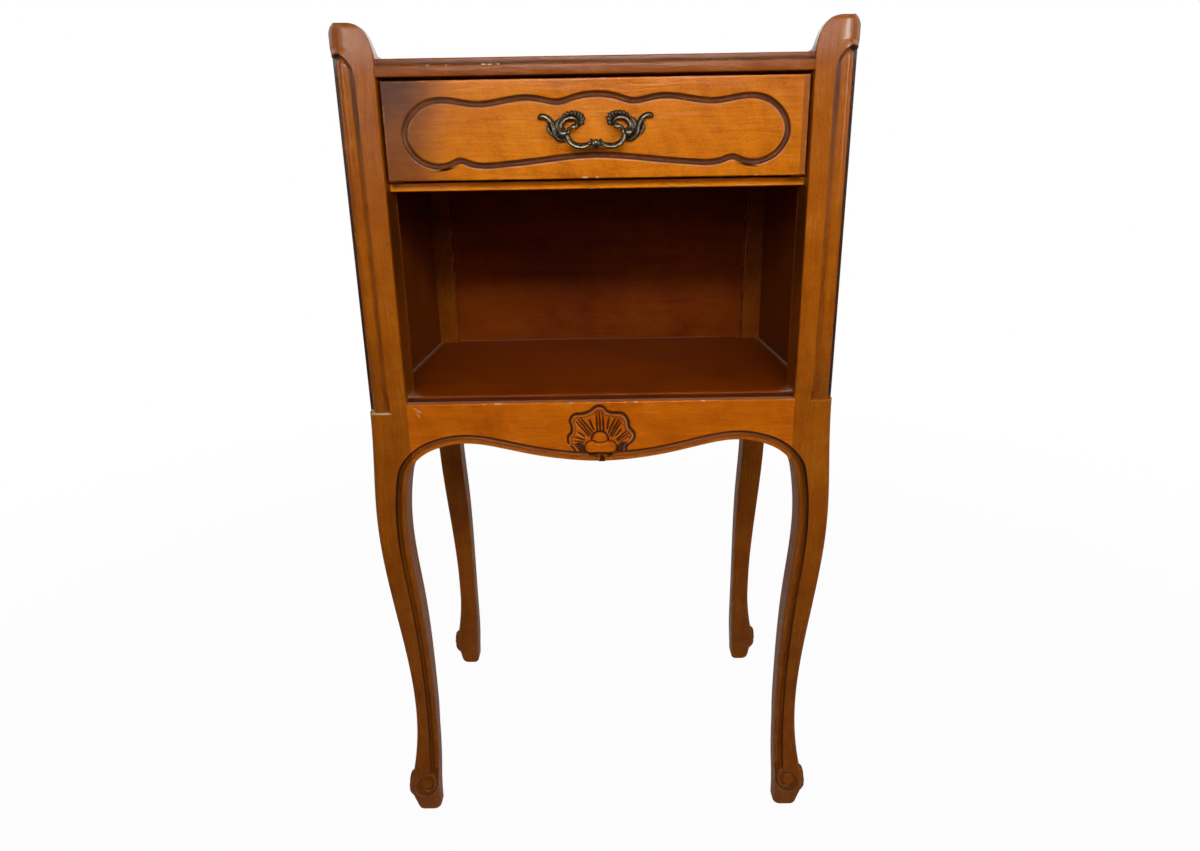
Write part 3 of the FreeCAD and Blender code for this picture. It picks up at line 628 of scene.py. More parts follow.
@dataclass(frozen=True)
class StainedWood:
    """Fruitwood under amber stain and shellac, with dark glaze and painted shade in its hollows, wear on its
    edges, and painted sheen and highlights.
    """

    name: str
    grain: Grain
    tone: Colour = (0.500, 0.122, 0.0030)
    glaze: Colour = (0.036, 0.0105, 0.0040)
    bare: Colour = (0.880, 0.660, 0.400)
    dust: Colour = (0.400, 0.325, 0.265)
    gloss: float = 0.25
    shine: float = 0.24
    ripple: float = 0.05
    flame: float = 0.3
    streak: float = 0.4
    start: Point3 = (0.0, 0.0, 0.0)
    dust_lines: Optional[Four] = None
    darkens: Optional[Point2] = None
    # Tint that paints shade on the side panels' faces inside the niche
    inside: Optional[Colour] = None
    varnish: Optional[Point2] = None
    deep_share: Colour = (0.60, 0.50, 0.50)
    pale_share: Colour = (1.25, 1.50, 2.60)
    low_tint: Colour = (0.93, 0.90, 0.40)
    wander: Point3 = (0.0, 0.022, 0.022)
    fibre_run: Point3 = (24.0, 520.0, 520.0)
    figure_run: Point3 = (3.2, 62.0, 62.0)
    pore_run: Point3 = (95.0, 1500.0, 1500.0)
    curl_run: Point3 = (84.0, 26.0, 26.0)
    wave_run: Point3 = (30.0, 240.0, 240.0)
    curl_lean: float = 0.42
    panel_face: Point2 = (0.1935, 0.1900)
    post_inside: float = 0.1660
    coat_roughness: float = 0.27

    def floor_dust(self, place: list[Value], wavy: Value) -> tuple[Value, Value]:
        """Dust that gathers on the niche floor along its walls and behind its front corners.

        Args:
            place: Object coordinates.
            wavy: Small shift that makes its edge uneven.

        Returns:
            The dust, and how far below the floor's top a point is, which gives the painted shade on the
            floor's front lip.
        """
        across, back, high = place
        half, front, rear, top = self.dust_lines
        corner = (half - abs(across)).least(rear - back)
        far = (half - abs(across)).most(rear - back)
        line = (corner + wavy).eased(0.0055, 0.0015) + (corner + far * 0.6 + wavy).eased(0.0160, 0.008)
        ledge = (self.post_inside - abs(across)) + (back - front) * 0.7 + wavy
        gathered = (line + ledge.eased(0.017, 0.004) * 0.8).least(1.0)
        return gathered * high.eased(top - 0.0012, top - 0.0004) * 0.8, high.eased(top - 0.0012, top - 0.0024)

    def material(self) -> Material:
        """Builds the finish.

        Returns:
            The new material.
        """
        material, graph = new_graph(self.name)
        where = graph.place()
        place = across, _, high = graph.axes(where)
        deep = tuple(part * share for part, share in zip(self.tone, self.deep_share))
        pale = tuple(part * share for part, share in zip(self.tone, self.pale_share))
        laid = graph.turned(where, self.start, self.grain.value)
        noise = {"Vector": laid, "Scale": 7.0, "Detail": 2.0}
        sway = graph.node("ShaderNodeTexNoise", None, noise).outputs[1]
        drift = graph.vector("SUBTRACT", sway, (NOISE_MEAN, NOISE_MEAN, NOISE_MEAN))
        run = graph.vector("ADD", laid, graph.vector("MULTIPLY", drift, self.wander))
        fibre = graph.cloud(graph.turned(run, stretch=self.fibre_run), detail=4.0, roughness=0.62)
        figure = graph.cloud(graph.turned(run, stretch=self.figure_run), detail=3.0, roughness=0.55)
        pore = graph.cloud(graph.turned(run, stretch=self.pore_run), detail=1.0)
        mottle = graph.cloud(laid, 26.0, 3.0, 0.6)
        leaned = graph.turned(laid, turn=(0.0, self.curl_lean, 0.0))
        curl = graph.cloud(graph.turned(leaned, stretch=self.curl_run), detail=3.0)
        speck = graph.cloud(laid, 900.0, 2.0, 0.6)
        blotch, grit = mottle.swing, speck.swing
        thread = fibre.swing
        shade = thread * 0.5 + figure.swing * self.streak + blotch * 0.7 + speck * 0.6 + 0.20
        shade = shade + curl.swing * self.flame
        stops = ((0.14, deep), (0.5, self.tone), (0.88, pale))
        colour = graph.node("ShaderNodeValToRGB", {"stops": stops}, {0: shade}).outputs[0]
        colour = graph.mix(pore.eased(0.60, 0.74) * 0.3, colour, deep)
        if self.darkens:
            colour = graph.mix(high.eased(*self.darkens), colour, self.low_tint, "MULTIPLY")
        # Painted shade: the side panels' faces inside the niche are multiplied darker
        if self.inside:
            colour = graph.mix(abs(across).eased(*self.panel_face), colour, self.inside, "MULTIPLY")
        glaze, worn, dust = (graph.mark(name) for name in Piece.MARKS)
        # Glaze mark: dark glaze in the hollows, and painted shade where parts lie in shade
        hollow = (glaze * 1.15 + blotch * glaze * 0.9 + grit * glaze * 0.5).eased(0.05, 1.0)
        colour = graph.mix(hollow * 0.93, colour, self.glaze)
        # Bare mark: wear, and painted highlights, first paler and then chipped to bare wood
        colour = graph.mix(worn * (0.45 + fibre * 0.5), colour, pale)
        chip = (worn + grit * 0.35).eased(0.62, 0.76)
        colour = graph.mix(chip * 0.9, colour, graph.mix(fibre.eased(0.5, 0.85), self.bare, pale))
        # Dust mark: real dust, and painted sheen and highlights on the ears, the drawer, the top's edge and
        # the shell's rim
        dust = dust + grit * dust * 1.2
        if self.dust_lines:
            gathered, below = self.floor_dust(place, blotch * 0.003 + grit * 0.0022)
            dust = dust + gathered
            # Painted shade on the front lip of the niche floor, below its top
            colour = graph.mix(below * 0.75, colour, self.glaze)
        dust = dust.least(1.0).most(0.0)
        colour = graph.mix(dust * 0.85, colour, self.dust)
        rough = self.gloss + blotch * 0.16 + thread * 0.10 + chip * 0.3 + dust * 0.35 + hollow * 0.12
        waves = graph.cloud(graph.turned(laid, stretch=self.wave_run), detail=2.0)
        height = fibre * 0.30 + waves * 1.6 + pore * 0.12 - chip * 1.6 + speck * dust * 0.8
        fixed = {"Specular IOR Level": self.shine, "IOR": 1.5, "Coat Roughness": self.coat_roughness}
        coat = {"Coat_Weight": high.eased(*self.varnish)} if self.varnish else {}
        normal = graph.bump(self.ripple * 0.004, height)
        graph.surface(fixed, Base_Color=colour, Roughness=rough, Normal=normal, **coat)
        return material


@dataclass(frozen=True)
class PlainWood:
    """Bare pale wood of the parts that stay inside: planed, with a little age and finger dirt."""

    name: str
    grain: Grain
    tone: Colour = (0.500, 0.300, 0.130)
    late: Colour = (0.320, 0.165, 0.058)
    start: Point3 = (0.0, 0.0, 0.0)

    def material(self) -> Material:
        """Builds the finish.

        Returns:
            The new material.
        """
        material, graph = new_graph(self.name)
        laid = graph.turned(graph.place(), self.start, self.grain.value)
        sway = graph.cloud(laid, 5.0, 2.0)
        rings = graph.cloud(graph.turned(laid, stretch=(1.8, 95.0, 95.0)), detail=2.0)
        fibre = graph.cloud(graph.turned(laid, stretch=(30.0, 900.0, 900.0)), detail=3.0, roughness=0.6)
        grime = graph.cloud(laid, 14.0, 4.0, 0.65)
        late = (rings + sway.swing * 0.3).eased(0.46, 0.66)
        colour = graph.mix(late * 0.6 + fibre.swing * 0.5, self.tone, self.late)
        colour = graph.mix(grime.eased(0.5, 0.8) * 0.35, colour, (0.170, 0.098, 0.046))
        rough = 0.62 + fibre.swing * 0.2
        normal = graph.bump(0.00012, fibre + late * 0.4)
        graph.surface({"Specular IOR Level": 0.12}, Base_Color=colour, Roughness=rough, Normal=normal)
        return material


@dataclass(frozen=True)
class Plywood:
    """Thin plywood: rotary-cut face veneer, and its plies showing on the edges."""

    name: str
    ply: float = 0.0013
    tone: Colour = (0.400, 0.240, 0.110)
    late: Colour = (0.255, 0.130, 0.050)

    def material(self) -> Material:
        """Builds the finish.

        Returns:
            The new material.
        """
        material, graph = new_graph(self.name)
        where = graph.place()
        flame = graph.cloud(graph.turned(where, stretch=(4.0, 26.0, 90.0)), detail=4.0, roughness=0.6)
        fibre = graph.cloud(graph.turned(where, stretch=(30.0, 700.0, 700.0)), detail=3.0)
        high = graph.axes(where)[2]
        layer = graph.value("ShaderNodeMath", {"operation": "PINGPONG"}, {0: high, 1: self.ply})
        layer = layer * (1.0 / self.ply)
        facing = graph.axes(graph.node("ShaderNodeNewGeometry").outputs["Normal"])[2]
        edge = 1.0 - abs(facing).eased(0.4, 0.8)
        colour = graph.mix(flame.eased(0.38, 0.68) * 0.7 + fibre.swing * 0.4, self.tone, self.late)
        colour = graph.mix(edge * layer.eased(0.35, 0.65) * 0.7, colour, self.late)
        rough = 0.6 + fibre.swing * 0.2
        normal = graph.bump(0.0001, fibre)
        graph.surface({"Specular IOR Level": 0.3}, Base_Color=colour, Roughness=rough, Normal=normal)
        return material


@dataclass(frozen=True)
class AgedBrass:
    """Cast brass gone brown, with bright rubs where hands and cloths reach."""

    name: str
    face: float
    hollow: float
    tarnish: Colour = (0.072, 0.057, 0.038)
    bright: Colour = (0.250, 0.215, 0.145)
    grime: Colour = (0.010, 0.007, 0.005)

    def material(self) -> Material:
        """Builds the finish.

        Returns:
            The new material.
        """
        material, graph = new_graph(self.name)
        where = graph.place()
        deep = graph.axes(where)[1]
        blotch = graph.cloud(where, 260.0, 4.0, 0.65)
        pits = graph.cloud(where, 1500.0, 2.0)
        reach = deep.eased(self.hollow, self.face)
        rub = (reach + blotch.swing * 1.1).eased(0.72, 1.25)
        dirt = 1.0 - (reach + blotch.swing * 0.5).eased(0.02, 0.45)
        colour = graph.mix(rub * 0.8, self.tarnish, self.bright)
        colour = graph.mix(dirt * 0.85, colour, self.grime)
        rough = 0.34 - rub * 0.12 + dirt * 0.25 + pits.swing * 0.2
        metal = 0.92 - dirt * 0.55
        normal = graph.bump(0.00012, pits + blotch)
        graph.surface({"IOR": 1.5}, Base_Color=colour, Roughness=rough, Metallic=metal, Normal=normal)
        return material


@dataclass(frozen=True)
class DullSteel:
    """Plated steel of screws, studs and nuts, dulled and spotted."""

    name: str
    tone: Colour = (0.430, 0.425, 0.410)
    spot: Colour = (0.120, 0.080, 0.050)

    def material(self) -> Material:
        """Builds the finish.

        Returns:
            The new material.
        """
        material, graph = new_graph(self.name)
        where = graph.place()
        bloom = graph.cloud(where, 600.0, 4.0, 0.7)
        scratch = graph.cloud(graph.turned(where, stretch=(300.0, 2600.0, 2600.0)), detail=2.0)
        spots = bloom.eased(0.56, 0.72)
        colour = graph.mix(spots * 0.7, self.tone, self.spot)
        rough = 0.36 + scratch.swing * 0.25 + spots * 0.25
        graph.surface({"IOR": 1.5}, Base_Color=colour, Roughness=rough, Metallic=1.0 - spots * 0.6)
        return material


@dataclass(frozen=True)
class LowerEdge:
    """Edge of the apron that runs on down the inner edge of the leg, with its moulding (right half)."""

    half_opening: float = 165.5
    half_width: float = 200.0
    middle: float = 383.3
    rise: float = 17.7
    join: float = 381.5
    across: tuple[float, ...] = (0.0, 0.18, 0.36, 0.54, 0.72, 0.846, 0.937, 1.0)
    heights: tuple[float, ...] = (0.0, 0.11, 0.38, 0.77, 1.0, 0.81, 0.43)
    inner_pins: tuple[Point2, ...] = ((0.0, 28.4), (24.0, 28.9), (50.0, 30.3), (95.0, 31.4), (160.0, 31.3),
                                      (245.0, 28.6), (335.0, 25.1), (366.0, 28.4))
    lean: float = 0.839
    section: tuple[Point2, ...] = ((0.0, 2.4), (0.4, 1.5), (1.0, 1.2), (3.9, 1.1), (4.2, 1.2), (4.4, 1.5),
                                   (5.2, 2.2), (6.4, 2.6), (7.6, 2.5), (8.3, 1.6), (8.4, 0.0))
    stations: tuple[float, ...] = (0.0, 0.2, 0.4, 1.0, 2.0, 3.0, 3.9, 4.2, 4.4, 4.8, 5.2, 5.8, 6.4, 7.0, 7.6,
                                   8.0, 8.3, 8.4)
    # Glaze and painted shade across the moulding: darkest in the quirk, which lies in shade, and dark again
    # at the edge that faces down
    stain: tuple[Point2, ...] = ((0.0, 0.45), (0.5, 0.10), (3.6, 0.40), (4.3, 0.58), (5.5, 0.52), (7.2, 0.60),
                                 (8.1, 1.0), (8.6, 0.70), (9.4, 0.0))
    width: float = 8.4
    ankle: float = 20.0
    arch_samples: int = 331
    leg_samples: int = 723

    def inner(self, z: Array, thick: float) -> Array:
        """Inset of a leg's inner line from the post's outer face.

        Args:
            z: Heights.
            thick: Thickness of the post.

        Returns:
            Insets at the heights.
        """
        places, insets = zip(*self.inner_pins)
        line = fair_line((*places, self.join), (*insets, thick), 0.0, self.lean)
        return np.where(z < self.join, line(z), thick)

    def arch(self, x: Array) -> Array:
        """Height of the apron's edge.

        Args:
            x: Places across, measured from the middle.

        Returns:
            Heights at the places.
        """
        rises = [self.middle + share * self.rise for share in self.heights] + [self.join]
        line = fair_line([share * self.half_opening for share in self.across], rises, 0.0, -1.0 / self.lean)
        return line(np.abs(x))

    def track(self, distance: float) -> Array:
        """Line in the wood at a distance from the edge, from the middle of the apron to the ankle.

        Args:
            distance: Distance from the edge.

        Returns:
            Points across and up.
        """
        x = np.linspace(0.0, self.half_opening, self.arch_samples)
        z = np.linspace(self.join, self.ankle, self.leg_samples)[1:]
        leg = self.half_width - self.inner(z, self.half_width - self.half_opening)
        line = np.concatenate([np.stack([x, self.arch(x)], -1), np.stack([leg, z], -1)])
        run = np.gradient(line, axis=0)
        run /= np.linalg.norm(run, axis=1)[:, None]
        return line + distance * np.stack([-run[:, 1], run[:, 0]], -1)

    def across_at(self, distance: float, z: Array) -> Array:
        """Where the line at a distance from the edge stands across, on the leg's side of the arch.

        Args:
            distance: Distance from the edge.
            z: Heights.

        Returns:
            Places across.
        """
        line = self.track(distance)
        line = line[np.argmax(line[:, 1]):][::-1]
        return np.interp(z, line[:, 1], line[:, 0])

    def height_at(self, distance: float, x: Array) -> Array:
        """How high the line at a distance from the edge stands, on the apron."""
        line = self.track(distance)[:self.arch_samples]
        return np.interp(np.abs(x), line[:, 0], line[:, 1])

    def depth(self, distance: Array) -> Array:
        """Depth of the moulding at a distance from the edge."""
        return np.interp(distance, *zip(*self.section), right=0.0)

    def glaze(self, distance: Array) -> Array:
        """Dark glaze and painted shade in the moulding at a distance from the edge."""
        return np.interp(distance, *zip(*self.stain))


@dataclass
class CornerLeg:
    """Post, ear and curved leg in one stick, with its finger-shaped hollow, moulding and scroll foot."""

    side: Side
    row: Row
    edge: LowerEdge
    wood: Material
    finger_foot: float = 430.0
    half_width: float = 200.0
    back_face: float = 292.0
    post_width: float = 34.5
    post_depth: float = 34.5
    top: float = 731.0
    post_top: float = 709.5
    ear_flat: float = 17.0
    ear_drop: float = 24.0
    ear_depth: float = 11.0
    ear_hollow: float = 7.0
    corner: float = 14.0
    leg_corner: float = 3.6
    arris: float = 1.5
    ankle_round: float = 12.0
    toe_round: float = 4.6
    crown_round: float = 5.0
    ear_round: float = 7.5
    ear_oval: float = 20.0
    knee_top: float = 445.0
    finger_top: float = 710.0
    finger_bead: float = 6.5
    eye: Point3 = (16.7, 37.6, 6.2)
    disc: Four = (17.0, 32.0, 13.0, 4.0)
    spiral: tuple[Point2, ...] = (
        (30.4, 58.0), (30.2, 37.6), (25.5, 28.4), (20.6, 24.0), (15.4, 22.4), (10.3, 24.1), (6.4, 30.0),
        (6.6, 37.8), (10.6, 43.5), (17.3, 47.2), (22.9, 47.6), (26.0, 43.5), (26.2, 37.5), (24.0, 32.4),
        (20.0, 30.2), (16.5, 30.6))
    outer_pins: tuple[Point2, ...] = (
        (0.0, 10.5), (11.0, 5.6), (29.0, 2.4), (50.0, 4.9), (69.0, 8.2), (128.0, 11.7), (245.0, 3.4),
        (340.0, -1.7), (390.0, 0.0), (430.0, 1.1), (445.0, 1.1))
    bead: tuple[Point2, ...] = (
        (19.2, 3.2), (17.6, 3.9), (15.0, 3.1), (12.0, 2.2), (9.0, 2.3), (6.2, 4.2), (4.2, 8.0), (3.4, 12.0),
        (3.2, 13.9))
    valley: tuple[Point2, ...] = (
        (19.3, 3.2), (17.8, 4.3), (14.0, 4.6), (10.5, 5.2), (7.6, 6.7), (5.6, 8.7), (4.4, 11.0), (3.8, 12.5),
        (3.4, 13.9))
    arch_drop: tuple[Point2, ...] = (
        (0.0, 18.0), (0.032, 13.0), (0.07, 9.8), (0.12, 7.9), (0.2, 5.2), (0.3, 2.4), (0.4, 0.7), (0.48, 0.0),
        (0.58, 0.0), (0.72, 0.3), (0.88, 1.0), (1.0, 1.6))
    finger_width: float = 19.5
    back_knee_top: float = 390.0
    dent: float = 516.0
    knee_swell: Point2 = (290.0, 400.0)
    mould_start: Point2 = (44.0, 54.0)
    mould_spread: Point2 = (397.0, 420.0)
    toe_band: Point2 = (14.0, 48.0)
    leg_fade: Point2 = (250.0, 375.0)
    ear_band: Point2 = (716.0, 725.0)
    finger_shadow: Point2 = (600.0, 690.0)
    finger_dull: Point2 = (438.0, 560.0)
    ankle_band: Point2 = (45.0, 125.0)
    shelf_line: Point2 = (440.0, 446.0)
    apron_top: Point2 = (437.0, 438.0)
    niche_foot: Point2 = (442.0, 446.0)
    niche_top: Point2 = (612.0, 618.0)
    niche_shade: Point2 = (480.0, 580.0)
    back_wear: Point2 = (400.0, 430.0)
    foot_wear: Point2 = (2.0, 22.0)
    crown_wear: Point2 = (723.0, 731.0)
    back_foot_wear: Point2 = (20.0, 34.0)
    handled_band: Point2 = (703.0, 714.0)
    arch_start: Point2 = (640.0, 690.0)
    arch_end: Point2 = (711.0, 719.0)
    bloom_band: Point2 = (680.0, 724.0)
    toe_turn: float = 6.5
    handled_place: float = 13.0
    handled_width: float = 5.0
    handled_depth: float = 9.0
    scroll_box: Four = (2.0, 33.0, 18.0, 62.0)
    flat_columns: int = 16
    front_columns: int = 8
    round_columns: int = 24
    side_columns: int = 4
    flank_columns: int = 21
    bend_columns: int = 6
    inner_columns: int = 8

    @property
    def grooved(self) -> bool:
        """True for the front legs, which have the hollow and the moulding."""
        return self.row is Row.FRONT

    @property
    def face(self) -> int:
        """Number of the first column of the outer corner."""
        return len(self.edge.stations) + self.flat_columns

    @property
    def wrap(self) -> int:
        """Number of the first column of the outer side."""
        return self.face + self.front_columns + self.round_columns + self.side_columns

    @property
    def flank(self) -> int:
        """Number of the first column behind the outer side."""
        return self.wrap + self.flank_columns

    def rows(self) -> Array:
        """Heights of the rows of points, closer together where there is carving.

        Returns:
            Growing heights.
        """
        stop, crest = self.finger_foot, self.top - self.crown_round
        quarter = math.pi / 2
        runs = [self.toe_round - self.toe_round * np.cos(np.linspace(0.0, quarter, 8)),
                [stop - 0.5, stop - 0.06, stop + 0.06, stop + 0.5],
                [self.post_top - 0.05, self.post_top + 0.05, self.finger_top - 0.1, self.finger_top + 0.1],
                crest + self.crown_round * np.sin(np.linspace(0.0, quarter, 9))]
        for start, end, step in (
                (self.toe_round + 0.4, 62.0, 0.5), (62.0, 378.0, 4.0), (378.0, stop - 0.6, 1.0),
                (stop + 1.0, 450.0, 2.0), (450.0, 640.0, 10.0), (640.0, 690.0, 3.0),
                (690.0, self.post_top - 0.2, 0.55), (self.finger_top + 0.6, crest - 0.2, 0.6)):
            runs.append(np.arange(start, end, step))
        return np.unique(np.concatenate(runs))

    def shrink(self, z: Array, crest: float) -> Array:
        """How far the section draws in at the rounded toe and at the crown of the ear.

        Args:
            z: Heights.
            crest: Radius of the crown.

        Returns:
            Distances at the heights.
        """
        total = np.zeros_like(z)
        for radius, past in ((self.toe_round, self.toe_round - z), (crest, z - self.top + crest)):
            total += radius - np.sqrt(np.clip(radius ** 2 - np.clip(past, 0.0, radius) ** 2, 0.0, None))
        return total

    def outer(self, z: Array) -> Array:
        """Inset of the leg's outer line from the post's face."""
        line = fair_line(*zip(*self.outer_pins), -1.0, 0.0)
        return np.where(z < (self.knee_top if self.grooved else self.back_knee_top), line(z), 0.0)

    def box(self, z: Array) -> FourArrays:
        """Plain section of the stick at each height.

        Args:
            z: Heights.

        Returns:
            Insets of the outer, inner, front and back faces (for a back leg, front and back change places).
        """
        draw, brow = self.shrink(z, self.crown_round), self.shrink(z, self.ear_round)
        outer = self.outer(z)
        inner = self.edge.inner(z, self.post_width)
        rear = self.edge.inner(z, self.post_depth)
        spring = self.top - self.ear_drop
        swell = np.sqrt(np.clip(1.0 - (np.clip(z - spring, 0.0, None) / self.ear_drop) ** 2, 0.0, 1.0))
        inner = np.where(z > spring, self.ear_flat + (self.post_width - self.ear_flat) * swell, inner)
        lift = np.clip((z - self.post_top) / self.ear_hollow, 0.0, 1.0)
        sweep = self.ear_depth + self.ear_hollow * (1.0 - np.sqrt(1.0 - (1.0 - lift) ** 2))
        rear = np.where(z > self.post_top, sweep, rear)
        return outer + brow, inner - draw, outer + draw, rear - draw

    def scroll(self, inset: Array, up: Array) -> tuple[Array, Array]:
        """Carved scroll of the foot: a raised line that winds round a domed eye.

        Args:
            inset: Distances from the outer face.
            up: Heights.

        Returns:
            Depth of the carving, and how near the raised line is.
        """
        depth, line_mark = np.zeros_like(inset), np.zeros_like(inset)
        left, right, low, high = self.scroll_box
        near = (up > low) & (up < high) & (inset > left) & (inset < right)
        spots = np.stack([inset[near], up[near]], -1)
        line = fair_path(self.spiral, 200)
        off = edge_distance(spots, line)
        ridge = eased(1.5, 0.4, off)
        sunk = inside_loop(spots, line[:152]) * eased(60.0, 52.0, spots[:, 1])
        x, z, radius = self.eye
        dome = np.sqrt(np.clip(1.0 - np.sum((spots - (x, z)) ** 2, 1) / radius ** 2, 0.0, 1.0))
        depth[near] = sunk * (2.0 - 1.8 * dome) * (1.0 - 0.95 * ridge)
        line_mark[near] = eased(1.0, 0.3, off) * eased(62.0, 56.0, spots[:, 1])
        return depth, line_mark

    def hollow(self, pins: Sequence[Point2]) -> Array:
        """Points of the finger-shaped hollow's section.

        Args:
            pins: Points that its curve goes through.

        Returns:
            Insets from the outer and the front face, one for each column of the corner.
        """
        curve = fair_path(pins, self.front_columns + self.round_columns - 1)
        tail = np.repeat([[0.0, self.corner]], self.side_columns, axis=0)
        return np.concatenate([[[self.finger_width, 0.0]], curve, tail])

    def corner_points(self, z: Array, sides: FourArrays, quirk: Array,
                      shoulder: Array) -> tuple[Array, Array]:
        """Plain rounded outer corner between the hollow's two edges.

        Args:
            z: Heights.
            sides: The section from box.
            quirk: Inset of the corner's start on the front.
            shoulder: Inset of its end on the outer side.

        Returns:
            Insets from the outer and from the front face.
        """
        outer, _, front, _ = sides
        carved = 1.0 if self.grooved else 0.0
        full = eased(self.finger_foot + 20.0, 600.0, z) * carved
        knee = self.leg_corner + 3.6 * eased(*self.knee_swell, z)
        ear = eased(self.finger_top + 1.0, self.finger_top + 5.0, z) * carved
        radius = np.clip(np.minimum(knee + (self.corner - knee) * full, quirk - outer), 0.3, None)
        width = radius + (np.minimum(self.ear_oval, quirk - outer) - radius) * ear
        depth = radius + (1.2 * (shoulder - front) - radius) * ear
        stretch = np.clip((shoulder - front) / depth, 0.0, 1.0)
        sweep = np.arccos(np.clip(1.0 - stretch, -1.0, 1.0))
        angle = sweep[:, None] * even_shares(self.round_columns)[None, :]
        flat_a = between(quirk, outer + width, np.linspace(0.0, 1.0, self.front_columns))
        arc_a = (outer + width)[:, None] - width[:, None] * np.sin(angle)
        arc_b = (front + depth)[:, None] - depth[:, None] * np.cos(angle)
        end = arc_b[:, -1]
        side_b = between(end, np.maximum(shoulder, end), even_shares(self.side_columns))
        a = np.concatenate([flat_a, arc_a, level(arc_a[:, -1], self.side_columns)], 1)
        return a, np.concatenate([level(front, self.front_columns), arc_b, side_b], 1)

    def moulding(self, z: Array, sides: FourArrays) -> tuple[Array, Array, Array]:
        """Moulding along the inner edge of the front, which runs on from the apron's.

        Args:
            z: Heights.
            sides: The section from box.

        Returns:
            Insets from the outer and from the front face, and the dark glaze with painted shade.
        """
        _, inner, front, _ = (part[:, None] for part in sides)
        carved = 1.0 if self.grooved else 0.0
        fade = (eased(*self.mould_start, z) * carved)[:, None]
        steps, seam = np.array(self.edge.stations), self.edge.half_opening
        lines = [self.half_width - np.maximum(self.edge.across_at(step, z), seam) for step in steps]
        spread = eased(*self.mould_spread, z)[:, None]
        a = np.stack(lines, 1) * (1.0 - spread) + (inner - steps) * spread
        a = np.minimum(a, inner - steps * 0.02)
        levels = [self.edge.height_at(step, np.array([seam]))[0] for step in steps]
        at_seam = np.interp(z, levels, steps, left=0.0, right=BEYOND_MOULDING)[:, None]
        distance = np.where(z[:, None] > self.edge.join, np.maximum(steps, at_seam), steps)
        toe = self.toe_turn * (1.0 - eased(*self.toe_band, z))[:, None] * carved
        back_off = np.clip(toe - np.clip(inner - a, 0.0, None), 0.0, None)
        turned = toe - np.sqrt(np.clip(toe ** 2 - back_off ** 2, 0.0, None))
        glaze = self.edge.glaze(distance) * fade * (distance < 9.5)
        glaze *= 0.6 + 0.4 * eased(*self.leg_fade, z)[:, None]
        a[:, 0] = sides[1] - 0.3 * (1.0 - eased(0.0, 0.3, self.shrink(z, self.crown_round)))
        return a, front + self.edge.depth(distance) * fade + turned, glaze

    def corner_edges(self, z: Array, sides: FourArrays, mould: Array) -> tuple[Array, Array]:
        """Edges of the outer corner, which are the hollow's edges on the posts.

        Args:
            z: Heights.
            sides: The section from box.
            mould: Inset at which the moulding ends.

        Returns:
            Inset of the corner's start on the front, and of its end on the outer side.
        """
        outer, inner, front, rear = sides
        ear = eased(self.finger_top + 1.0, self.finger_top + 5.0, z)
        low = 1.0 - eased(395.0, self.finger_foot - 1.0, z)
        depth = rear - front
        share = low * 0.58 + ear * (0.76 + 0.16 * eased(*self.ear_band, z))
        reach = np.minimum(mould, inner) - outer
        quirk = outer + self.finger_width * (1.0 - low) * (1.0 - ear) + share * reach
        shoulder = front + self.corner * (1.0 - low) * (1.0 - ear) + low * 0.45 * depth + ear * (depth - 1.6)
        return np.minimum(quirk, mould - 0.4), np.minimum(shoulder, rear - 1.2)

    def finger(self, z: Array, a: Array, b: Array) -> FourArrays:
        """Cuts the finger-shaped hollow into the plain corner of a front post.

        Args:
            z: Heights.
            a: Insets of the plain corner from the outer face.
            b: Its insets from the front face.

        Returns:
            The new insets, the dark glaze with painted shade in the valley and the outer quirk, and the wear
            on the ledge below.
        """
        if not self.grooved:
            return a, b, np.zeros_like(a), np.zeros_like(a)
        within = ((z > self.finger_foot) & (z < self.finger_top))[:, None]
        rise = eased(0.3, self.finger_bead, self.finger_top - z)[:, None, None]
        shape = self.hollow(self.valley)[None] * (1.0 - rise) + self.hollow(self.bead)[None] * rise
        new_a, new_b = shape[..., 0], shape[..., 1]
        left_a, left_b = (np.clip(self.corner - inset, 0.0, None) for inset in (new_a, new_b))
        sunk = np.where(new_a > self.corner, new_b, self.corner - np.hypot(left_a, left_b))
        # Painted shade in the hollow: the inner valley darker towards the top, the deep outer half and the
        # outer quirk near black
        inward = np.linspace(1.0, 0.0, a.shape[1])[None, :] > 0.5
        shadow = np.where(inward, 0.33 + 0.22 * eased(*self.finger_shadow, z)[:, None], 0.90)
        dull = 0.34 * (1.0 - eased(*self.finger_dull, z))[:, None]
        glaze = np.where(within, np.maximum(eased(1.9, 3.5, sunk) * shadow, dull), 0.0)
        glaze[:, :2] = np.maximum(glaze[:, :2], within * 0.78)
        glaze[:, -self.side_columns - 2:] = within
        ledge = np.exp(-((z - self.finger_foot + 0.6) / 1.3) ** 2)[:, None]
        bare = ledge * (1.0 if self.side is Side.LEFT else 0.66) * np.ones_like(a)
        return np.where(within, new_a, a), np.where(within, new_b, b), glaze, bare

